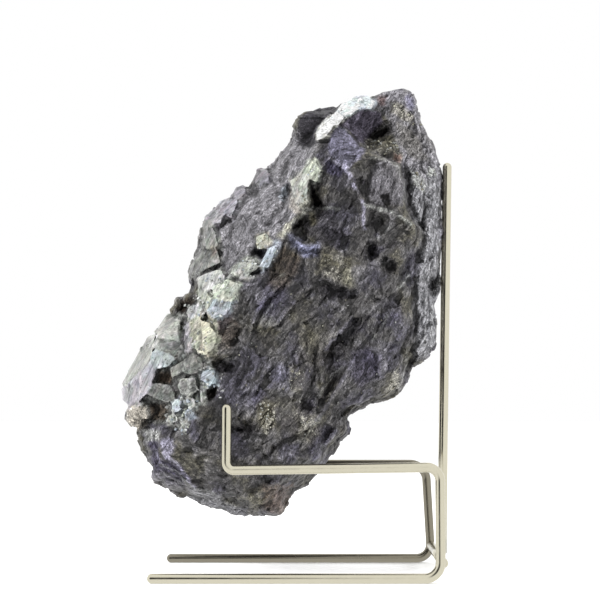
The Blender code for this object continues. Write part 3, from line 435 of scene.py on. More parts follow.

# Areas of the near side, painted in this order: most are the ore's own colours, the dark sunk ones are
# painted shade, and a few pale ones are partly painted light
PATCHES = (
    # The upper-left face: partly its own paler colour, partly painted light where it faces the light
    Patch(Tint.GREY_LILAC, (
        (203, 222), (218, 204), (236, 190), (254, 184), (268, 166), (282, 150), (300, 132), (318, 140),
        (312, 158), (308, 178), (303, 205), (296, 218), (283, 238), (268, 262), (250, 278), (230, 272),
        (205, 262), (195, 255)), 0.9, lustre=0.12, soft=5, calm=0.35),
    # The right rim: partly its own pale streaks, partly painted light along the edge that faces the side
    Patch(Tint.RIM, (
        (405, 170), (424, 140), (440, 165), (441, 295), (436, 345), (428, 357), (415, 362), (414, 300),
        (420, 262), (424, 235), (412, 215)), 0.88, soft=5),
    Patch(Tint.GREY_LILAC, (
        (378, 94), (391, 90), (409, 90), (416, 98), (425, 130), (438, 158), (440, 175), (424, 180),
        (405, 165), (396, 150), (392, 130), (385, 115), (375, 108)), 0.75, soft=4),
    Patch(Tint.LILAC, ((404, 95), (410, 94), (414, 106), (412, 112), (406, 106))),
    Patch(Tint.KHAKI, (
        (391, 101), (402, 105), (413, 115), (411, 125), (400, 119), (391, 112)), 0.5, speck=0.7),
    Patch(Tint.OLIVE, ((396, 120), (410, 128), (420, 140), (428, 160), (414, 160), (400, 146)), 0.3),
    Patch(Tint.PLUM, (
        (338, 125), (352, 116), (362, 109), (373, 109), (381, 114), (384, 122), (378, 129), (371, 135),
        (366, 142), (358, 144), (350, 132)), 0.95, soft=1.5, calm=0.6),
    # Painted shade in a pit
    Patch(Tint.BLACK, (
        (369, 137), (375, 131), (387, 128), (390, 132), (383, 139), (376, 141)), 0.9, lift_mm=-0.6),
    Patch(Tint.LILAC, (
        (337, 125), (345, 128), (352, 136), (360, 146), (366, 150), (358, 158), (352, 164), (346, 168),
        (338, 163), (331, 157), (329, 147), (331, 134)), 0.85, lift_mm=0.3, lustre=0.15, soft=1.8, calm=0.5),
    Patch(Tint.VIOLET, ((325, 160), (333, 160), (341, 166), (346, 172), (338, 177), (327, 172)), 0.9),
    Patch(Tint.OLIVE, (
        (366, 138), (372, 142), (380, 143), (392, 134), (398, 146), (404, 154), (400, 160), (388, 158),
        (374, 152), (366, 148)), 0.55, lift_mm=0.2, lustre=0.3, speck=0.7),
    Patch(Tint.ORE, ((428, 168), (448, 168), (448, 236), (430, 236)), 0, soft=6, side_mm=0.75),
    Patch(Tint.RUST, ((379, 97), (386, 98), (385, 105), (379, 104)), 0.3),
    Patch(Tint.RUST, ((394, 152), (401, 155), (399, 161), (393, 159)), 0.3),
    # Painted shade in a pit
    Patch(Tint.BLACK, ((381, 150), (393, 152), (394, 158), (383, 157)), 0.85, lift_mm=-1.2),
    Patch(Tint.ASH, (
        (373, 162), (388, 158), (398, 166), (404, 180), (405, 202), (390, 206), (370, 202), (366, 190)),
        soft=3, calm=0.5),
    # Painted highlights: two clusters of glints given a pale colour, with a shinier finish
    Patch(Tint.SILVER, (
        (427, 169), (435, 168), (436, 174), (429, 175)), 0.9, lift_mm=0.2, lustre=0.8, soft=1.5),
    Patch(Tint.SILVER, (
        (413, 172), (420, 176), (426, 186), (424, 192), (416, 186), (411, 178)), 0.75, lift_mm=0.2,
        lustre=0.5),
    Patch(Tint.WHITE, (
        (315.5, 133), (318, 127), (326, 120), (333, 117), (338, 110), (344, 100), (352, 95), (361, 94),
        (370, 96), (377, 103), (373, 110), (365, 108), (358, 110), (350, 116), (342, 121), (337, 126),
        (330, 131), (324, 135), (318, 140)), 1, lustre=0.6, soft=1.2, calm=0.65),
    Patch(Tint.CHAR, (
        (296, 131), (299, 121), (306, 113), (316, 107), (326, 105), (339, 105), (334, 113), (325, 119),
        (318, 126), (315, 134), (317, 143), (310, 148), (301, 147), (297, 139)), 1, lustre=0.035, soft=1.2,
        calm=0.5, behind_mm=16),
    Patch(Tint.ASH, (
        (290, 137), (292, 131), (297, 129), (301, 134), (303, 141), (299, 146), (292, 144)), 0.7),
    Patch(Tint.GREEN_WHITE, (
        (306, 160), (314, 157), (321, 166), (320, 182), (314, 184), (309, 176), (304, 172)), lustre=0.4),
    Patch(Tint.PALE_CREAM, (
        (289, 179), (298, 172), (305, 172), (309, 183), (310, 203), (303, 212), (297, 206), (300, 190),
        (292, 186)), 0.6, lustre=0.4),
    Patch(Tint.BLUE_WHITE, ((281, 189), (287, 186), (288, 196), (283, 201), (279, 196)), 0.75),
    Patch(Tint.PINK_BEIGE, (
        (291, 186), (299, 190), (299, 206), (303, 212), (296, 216), (288, 206), (289, 196)), 0.6),
    # Painted shade in two pits
    Patch(Tint.BLACK, (
        (311, 183), (315, 190), (322, 201), (323, 206), (315, 206), (311, 196)), 1, lift_mm=-0.8, soft=1),
    Patch(Tint.BLACK, ((292, 229), (297, 222), (302, 216), (303, 225), (297, 229)), 1, lift_mm=-0.6, soft=1),
    Patch(Tint.DARK_ORE, (
        (303, 222), (320, 210), (334, 212), (346, 236), (330, 244), (316, 242), (305, 236)), 0.75),
    Patch(Tint.OLIVE, ((309, 212), (315, 211), (316, 224), (310, 226)), 0.6),
    Patch(Tint.BLUE_VIOLET, (
        (288, 234), (298, 238), (307, 244), (319, 245), (318, 256), (303, 256), (291, 248)), 0.9, soft=3.5,
        calm=0.5),
    Patch(Tint.BROWN, ((270, 262), (284, 246), (300, 256), (298, 275), (280, 290), (266, 284)), 0.45, soft=4),
    Patch(Tint.CREAM, (
        (303, 213), (290, 229), (283, 239), (276, 237), (286, 226), (296, 214)), 0.7, lustre=0.3),
    Patch(Tint.BLUE_WHITE, (
        (276, 239), (282, 242), (270, 264), (262, 273), (257, 267), (266, 254)), 0.9, lift_mm=0.2,
        lustre=0.5),
    # Painted shade in two hollows
    Patch(Tint.NAVY, (
        (255, 251), (261, 248), (267, 250), (266, 255), (261, 259)), 0.9, lift_mm=-0.7, soft=1.5),
    Patch(Tint.NAVY, (
        (247, 273), (253, 267), (260, 267), (260, 273), (252, 276)), 0.9, lift_mm=-0.7, soft=1.5),
    Patch(Tint.GREEN_WHITE, (
        (236, 264), (246, 257), (256, 258), (261, 264), (252, 268), (246, 273), (238, 277), (230, 274)),
        0.85, lustre=0.4),
    Patch(Tint.PALE_LILAC, ((220, 204), (230, 198), (240, 201), (236, 212), (226, 217), (221, 212)), 0.4),
    Patch(Tint.STEEL, (
        (188, 277), (190, 264), (200, 250), (204, 232), (203, 222), (214, 222), (222, 246), (222, 264),
        (206, 270), (194, 277)), 0.7, lustre=0.3),
    Patch(Tint.PEACH, ((211, 248), (217, 247), (217, 257), (212, 257)), 0.7),
    Patch(Tint.SILVER, (
        (197, 277), (210, 272), (222, 268), (227, 275), (222, 284), (212, 290), (203, 294), (198, 288)), 0.9,
        lustre=0.5),
    Patch(Tint.GREEN_WHITE, (
        (204, 290), (214, 284), (228, 279), (240, 283), (236, 298), (227, 315), (214, 318), (207, 310),
        (199, 303)), 0.9, lustre=0.5),
    Patch(Tint.BLUE_WHITE, ((187, 308), (196, 303), (200, 308), (197, 320), (188, 322)), 0.85, lustre=0.5),
    Patch(Tint.DARK_BROWN, (
        (176, 310), (180, 302), (186, 296), (192, 298), (196, 303), (190, 308), (187, 316), (181, 314)),
        0.85),
    Patch(Tint.STEEL, (
        (156, 330), (180, 312), (190, 320), (190, 350), (203, 350), (214, 366), (217, 380), (206, 392),
        (190, 412), (186, 434), (170, 424), (147, 424), (127, 427), (122, 385), (140, 350)), lustre=0.3),
    # Painted shade in a pit
    Patch(Tint.BLACK, (
        (182, 318), (187, 318), (187, 340), (184, 347), (181, 341), (180, 326)), 0.9, lift_mm=-1.5),
    Patch(Tint.CREAM, (
        (190, 320), (200, 312), (211, 321), (217, 334), (217, 350), (208, 357), (204, 349), (196, 355),
        (188, 352), (189, 336)), 0.9, lustre=0.4),
    Patch(Tint.TAN, ((155, 376), (161, 371), (170, 373), (174, 380), (171, 385), (160, 382)), 0.9),
    Patch(Tint.BROWN, (
        (150, 405), (158, 403), (167, 405), (170, 412), (165, 419), (156, 422), (150, 418)), 0.85,
        lift_mm=-0.4),
    # Painted shade in a pit
    Patch(Tint.BLACK, (
        (205, 390), (210, 386), (217, 386), (216, 396), (210, 401), (205, 402)), 1, lift_mm=-1, soft=1.5),
    # Painted shade in a pit
    Patch(Tint.DARK_ORE, ((213, 358), (222, 360), (231, 366), (226, 373), (216, 371)), 0.85, lift_mm=-1),
    Patch(Tint.PINK_BEIGE, ((127, 406), (140, 402), (147, 410), (148, 424), (138, 429), (127, 424)), 0.9),
    Patch(Tint.SILVER, ((142, 430), (150, 427), (160, 432), (158, 441), (148, 442)), 0.7),
    Patch(Tint.PALE_LILAC, ((160, 440), (170, 436), (176, 446), (170, 460), (161, 459)), 0.65),
    Patch(Tint.DARK_VIOLET, (
        (148, 442), (158, 440), (161, 458), (172, 462), (182, 468), (190, 478), (184, 482), (172, 474),
        (156, 472), (152, 466)), 0.85),
    Patch(Tint.GREY_LILAC, (
        (151, 474), (160, 470), (170, 476), (188, 486), (180, 494), (163, 489), (151, 482)), 0.4),
    Patch(Tint.RIM, (
        (190, 487), (213, 493), (230, 505), (250, 511), (262, 512), (262, 518), (236, 518), (206, 506),
        (188, 498)), 0.65),
    Patch(Tint.TAN, ((262, 486), (292, 486), (290, 501), (285, 515), (270, 514), (262, 505)), 0.5, soft=4),
    Patch(Tint.KHAKI, ((250, 489), (260, 486), (264, 500), (258, 515), (248, 515)), 0.45),
    Patch(Tint.OLIVE, (
        (320, 250), (330, 244), (352, 258), (352, 284), (342, 286), (324, 276)), 0.35, soft=5, speck=0.6),
    Patch(Tint.CREAM, ((343, 270), (351, 268), (352, 285), (345, 284)), 0.4),
    # Painted shadow under the ledge
    Patch(Tint.DARK_ORE, ((318, 283), (330, 285), (350, 291), (346, 301), (330, 301), (318, 293))),
    Patch(Tint.DARK_VIOLET, (
        (350, 352), (368, 346), (382, 356), (378, 378), (362, 388), (350, 376)), 0.65, soft=5),
    Patch(Tint.LILAC, ((268, 368), (280, 362), (292, 368), (284, 382), (270, 380)), 0.45, soft=4),
    Patch(Tint.VIOLET, ((258, 300), (285, 288), (292, 303), (276, 318), (258, 314)), 0.5, soft=6),
    Patch(Tint.VIOLET, ((313, 430), (326, 424), (336, 430), (326, 446), (314, 460), (306, 452)), 0.6, soft=4),
    Patch(Tint.VIOLET, ((232, 395), (262, 388), (268, 402), (240, 412)), 0.35, soft=6),
    Patch(Tint.VIOLET, ((380, 300), (400, 296), (404, 320), (386, 326)), 0.35, soft=6),
    Patch(Tint.OLIVE, ((296, 330), (330, 322), (340, 345), (322, 372), (298, 364)), 0.35, soft=8),
    Patch(Tint.OLIVE, ((262, 400), (296, 396), (312, 414), (296, 436), (262, 430)), 0.35, soft=8, speck=0.5),
    # Painted shade along a valley
    Patch(Tint.DARK_ORE, (
        (326, 345), (345, 335), (350, 350), (340, 372), (330, 395), (320, 402), (326, 375)), 0.5,
        lift_mm=-0.3, soft=4),
    Patch(Tint.DARK_ORE, ((326, 408), (346, 402), (353, 420), (340, 440), (326, 432)), 0.5),
    # Partly its own brown colour, partly painted shadow
    Patch(Tint.BROWN, ((214, 318), (228, 312), (240, 322), (236, 345), (222, 350), (217, 336)), 0.5, soft=4),
    # Painted shade in a pit
    Patch(Tint.DARK_ORE, ((236, 425), (252, 424), (258, 432), (246, 440), (236, 437)), 0.7, lift_mm=-0.6),
    Patch(Tint.KHAKI, (
        (258, 404), (266, 399), (275, 404), (274, 424), (266, 434), (258, 424)), 0.6, soft=3, speck=1),
    Patch(Tint.KHAKI, ((288, 366), (298, 364), (306, 376), (300, 396), (290, 390)), 0.3, soft=3, speck=0.9),
    Patch(Tint.KHAKI, ((296, 414), (314, 416), (320, 436), (310, 446), (298, 436)), 0.3, soft=4, speck=0.8),
    Patch(Tint.KHAKI, ((386, 374), (398, 368), (403, 382), (394, 396), (386, 390)), 0.4, soft=4, speck=0.8),
    # Painted shade in three pits
    Patch(Tint.BLACK, ((430, 277), (438, 277), (439, 290), (432, 297), (429, 290)), 0.75, lift_mm=-1.2),
    Patch(Tint.DARK_ORE, ((366, 240), (376, 244), (378, 256), (370, 254)), 0.7, lift_mm=-0.6),
    Patch(Tint.DARK_ORE, ((383, 256), (395, 258), (398, 268), (389, 270)), 0.5, lift_mm=-0.4, soft=4),
)

# Ridges, cracks and step edges of the near side: the dark tints of cracks and steps are painted shade, and
# the pale tints of ridges partly the ore's pale bands and partly painted highlight
STROKES = (
    Stroke(G, 2.5, 1, ((337, 124), (348, 131), (355, 138.5), (359, 146))),
    Stroke(R, 2, 0.7, ((331, 159), (339, 165), (345, 169), (351, 166), (359, 158)), Tint.PALE_LILAC, show=2),
    Stroke(R, 3.2, 1.3, ((345, 167), (351, 179), (357, 193), (364, 204)), Tint.PALE_LILAC, show=2),
    Stroke(R, 2.8, 1, ((364, 203), (363, 216), (365, 229)), Tint.PALE_LILAC, show=2),
    Stroke(R, 3.2, 1.1, (
        (365, 204), (377, 208), (390, 210), (397, 214), (407, 222), (420, 230)), Tint.STEEL, show=2.8),
    Stroke(G, 2.2, 0.9, ((366, 201), (373, 203), (381, 206.5), (391, 207))),
    Stroke(G, 2.4, 0.9, ((396, 228), (407, 232), (416, 238), (422, 235)), Tint.DARK_ORE),
    Stroke(R, 2.6, 0.8, (
        (371, 160), (379, 158.5), (390, 160), (398, 167), (403, 180), (405, 200)), Tint.STEEL),
    Stroke(G, 2.2, 1, ((372, 173), (369, 183), (367, 193), (368, 200))),
    Stroke(G, 1.6, 0.5, ((384, 163), (378, 174), (374, 186), (373, 197)), Tint.DARK_ORE),
    Stroke(G, 1.6, 0.5, ((391, 167), (385, 178), (381, 190)), Tint.DARK_ORE),
    Stroke(G, 1.6, 0.5, ((397, 172), (393, 184), (391, 200)), Tint.DARK_ORE),
    Stroke(G, 2.6, 1.4, ((382, 196), (387, 196), (389, 203))),
    Stroke(G, 3.2, 1.8, ((406, 169), (409, 179), (407, 190), (410, 203), (414, 213), (419, 221), (423, 227))),
    Stroke(G, 2.4, 1.2, ((426, 203), (424, 213), (422, 222))),
    Stroke(G, 2.6, 1.3, ((423, 229), (424, 239), (422, 248), (418, 255))),
    Stroke(G, 2, 0.9, ((378, 216), (381, 223), (378, 230))),
    Stroke(G, 2.6, 0.8, ((367, 242), (372, 249), (377, 255))),
    Stroke(R, 2.4, 0.8, ((370, 246), (381, 235), (391, 226)), Tint.STEEL),
    Stroke(R, 2.4, 0.7, ((304, 210), (313, 208.5), (330, 207.5), (340, 210)), Tint.STEEL, show=2),
    Stroke(R, 2, 0.6, ((289, 228), (296, 220), (303, 212.5)), Tint.WHITE, show=2),
    Stroke(G, 2.2, 1, ((318.5, 250), (319, 263), (318.5, 273))),
    Stroke(G, 4.2, 2.2, ((321, 276), (330, 282), (342, 287), (352, 290))),
    Stroke(G, 2.4, 1.4, ((288.5, 186), (289.5, 196))),
    Stroke(G, 2.2, 1.2, ((285, 197), (283, 207))),
    Stroke(R, 2, 0.5, ((305, 171), (308, 187), (309.5, 203)), Tint.WHITE),
    Stroke(G, 2.6, 1.4, ((247, 187), (253, 186), (259, 184), (268, 184))),
    Stroke(G, 2.2, 1.2, ((269, 172), (271, 180), (274, 184)), Tint.DARK_ORE),
    Stroke(G, 2, 1, ((219, 229), (224, 223), (229, 219))),
    Stroke(G, 2, 1, ((218, 230), (220, 240), (223, 247)), Tint.DARK_ORE),
    Stroke(R, 2, 0.8, ((240, 277.5), (252, 278), (262, 275.5)), Tint.WHITE, show=2),
    Stroke(G, 2.4, 1.4, ((241, 280.5), (252, 281.5), (262, 279))),
    Stroke(G, 2.4, 1, ((216, 259), (219, 251), (221, 244))),
    Stroke(G, 2.4, 1, ((204, 272), (212, 269), (219, 265))),
    Stroke(G, 2.2, 0.8, ((193, 270), (199, 262), (207, 255)), Tint.DARK_ORE),
    Stroke(G, 1.8, 0.6, ((209, 229), (213, 240), (215, 250)), Tint.DARK_ORE),
    Stroke(R, 2, 0.6, ((280, 275.5), (288, 274.5), (296, 274)), Tint.STEEL),
    Stroke(R, 2.4, 0.7, ((292, 297), (300, 292), (309, 287)), Tint.LILAC),
    Stroke(G, 2, 0.7, ((293, 301), (302, 295.5), (310, 290))),
    Stroke(R, 2.4, 0.7, ((296, 306), (304, 299), (313, 293)), Tint.LILAC),
    Stroke(S, 6, 1, ((279, 324), (287, 313), (296, 303), (306, 294)), Tint.DARK_ORE),
    Stroke(R, 2.6, 0.7, ((278, 322), (286, 311), (295, 301)), Tint.LILAC),
    Stroke(S, 6, 0.9, ((252, 331), (257, 314), (266, 300), (276, 292)), Tint.DARK_ORE),
    Stroke(R, 2.4, 0.6, ((251, 329), (256, 313), (265, 299)), Tint.LILAC),
    Stroke(R, 2, 0.5, ((259, 330), (263, 316), (272, 304)), Tint.STEEL),
    Stroke(R, 2, 0.5, ((267, 326), (272, 314), (281, 303)), Tint.STEEL),
    Stroke(G, 2.4, 1.2, ((355, 320), (345, 331), (337, 340), (329, 351)), Tint.DARK_ORE),
    Stroke(R, 3, 0.9, ((352, 319), (342, 330), (333, 340), (325, 350)), Tint.LILAC),
    Stroke(G, 3.4, 1.4, ((331, 353), (337, 357), (343, 355))),
    Stroke(G, 2.4, 1.2, ((342, 375), (332, 384), (324, 397), (317, 409))),
    Stroke(R, 2.6, 0.9, ((353, 362), (343, 379), (332, 397), (324, 410), (316, 420)), Tint.LILAC),
    Stroke(R, 2.2, 0.7, ((341, 366), (332, 378), (323, 390), (315, 402)), Tint.STEEL),
    Stroke(G, 2.4, 1.2, ((393, 296), (401, 290), (409, 281), (414, 278))),
    Stroke(R, 2, 0.8, ((396, 291), (403, 285), (408, 277), (412, 272)), Tint.WHITE),
    Stroke(G, 2.8, 1.6, ((415, 278), (416, 297), (416, 313), (414.5, 332), (412, 350))),
    Stroke(G, 1.8, 0.7, ((423, 302), (422, 318), (423, 334)), Tint.DARK_ORE),
    Stroke(G, 1.8, 0.7, ((428, 298), (429, 312), (429, 326)), Tint.DARK_ORE),
    Stroke(R, 2, 0.6, ((419, 296), (419, 316), (419, 340)), Tint.RIM),
    Stroke(R, 2, 0.6, ((425, 298), (426, 320), (425, 344)), Tint.SILVER),
    Stroke(R, 2, 0.6, ((432, 302), (432, 322), (431, 342)), Tint.SILVER),
    Stroke(G, 2, 0.9, ((399, 345), (393, 338), (388, 333))),
    Stroke(G, 3.2, 1.5, ((410, 346), (415, 356), (411, 362))),
    Stroke(G, 3, 1.3, ((394, 354), (396, 365), (391, 371))),
    Stroke(R, 2.4, 0.8, ((408, 352), (406, 366), (402, 380), (396, 391)), Tint.SILVER),
    Stroke(G, 2.6, 1.1, ((348, 392), (336, 403), (332, 414))),
    Stroke(G, 2.8, 1.4, ((337, 414), (336, 425), (331, 431))),
    Stroke(S, 6, 0.9, ((376, 330), (388, 312), (397, 296)), Tint.DARK_ORE),
    Stroke(R, 2.4, 0.6, ((372, 340), (384, 322), (394, 304)), Tint.STEEL),
    Stroke(S, 6, 0.9, ((352, 340), (364, 322), (378, 306), (388, 288)), Tint.DARK_ORE),
    Stroke(R, 2.4, 0.6, ((358, 310), (366, 296), (376, 282)), Tint.GREY_LILAC),
    Stroke(G, 3.4, 1.4, ((236, 429), (243, 432), (251, 431))),
    Stroke(G, 2.4, 0.9, ((251, 435), (258, 437), (266, 436))),
    Stroke(G, 3, 1.4, ((253, 493), (260, 487), (268, 482), (275, 479))),
    Stroke(G, 2.4, 1.2, ((296, 488), (300, 482), (304, 477))),
    Stroke(R, 2.4, 0.9, ((170, 459), (178, 465), (187, 479), (195, 487)), Tint.PALE_LILAC, show=2),
    Stroke(R, 2.4, 0.9, ((160, 464), (176, 471), (187, 483), (196, 489), (214, 493)), Tint.STEEL, show=1.2),
    Stroke(R, 2, 0.6, ((153, 440), (156, 452), (160, 462)), Tint.PALE_LILAC, show=2),
    Stroke(G, 4, 1.6, ((233, 501), (240, 505), (246, 502))),
    Stroke(G, 2.6, 1.2, ((224, 488), (232, 494), (240, 494))),
    Stroke(G, 2, 0.7, ((266, 488), (264, 500), (262, 512)), Tint.DARK_BROWN),
    Stroke(G, 2, 0.7, ((273, 487), (271, 500), (269, 513)), Tint.DARK_BROWN),
    Stroke(G, 2, 0.7, ((281, 487), (279, 500), (277, 513)), Tint.DARK_BROWN),
    Stroke(G, 2, 0.7, ((257, 489), (255, 502), (252, 513)), Tint.DARK_ORE),
    Stroke(R, 2.2, 0.7, ((336, 431), (329, 441), (322, 452), (315, 460)), Tint.LILAC),
    Stroke(G, 2.2, 1, ((330, 432), (322, 443), (312, 456))),
    Stroke(G, 2.2, 0.9, ((318, 424), (308, 436), (298, 450)), Tint.DARK_ORE),
    Stroke(R, 2.2, 0.7, ((322, 414), (312, 428), (300, 442)), Tint.STEEL),
    Stroke(G, 1.8, 0.7, ((228, 324), (240, 318), (250, 324))),
    Stroke(R, 1.8, 0.5, ((228, 327), (240, 321), (250, 327)), Tint.STEEL),
    Stroke(G, 1.8, 0.7, ((227, 355), (237, 355), (244, 361), (243, 368))),
    Stroke(R, 1.8, 0.5, ((226, 358), (236, 358), (241, 363), (239, 369)), Tint.STEEL),
    Stroke(G, 1.8, 0.7, ((228, 349), (241, 349), (249, 357), (248, 368))),
    Stroke(G, 2.2, 0.9, ((238, 329), (236, 338), (231, 345))),
    Stroke(G, 2.4, 0.9, ((219, 360), (226, 364), (232, 366))),
    Stroke(S, 6, 0.9, ((256, 392), (262, 382), (270, 370), (274, 360)), Tint.DARK_ORE),
    Stroke(R, 2.2, 0.6, ((246, 388), (252, 376), (258, 364)), Tint.LILAC),
    Stroke(S, 6, 0.9, ((302, 405), (308, 389), (312, 373), (314, 353)), Tint.DARK_ORE),
    Stroke(R, 2.4, 0.6, ((286, 392), (293, 378), (300, 362)), Tint.LILAC),
    Stroke(G, 2.6, 1, ((303, 404), (310, 407), (319, 411))),
    Stroke(S, 6, 0.9, ((264, 456), (274, 446), (288, 438), (304, 430)), Tint.DARK_ORE),
)


@dataclass(frozen=True)
class Crystal:
    """One crystal as the corners of a convex solid, with its colour and how broken its faces are."""

    tint: Tint
    corners: tuple[Corner, ...]
    # How much of the ore's roughness its faces have
    broken: float = 0.15

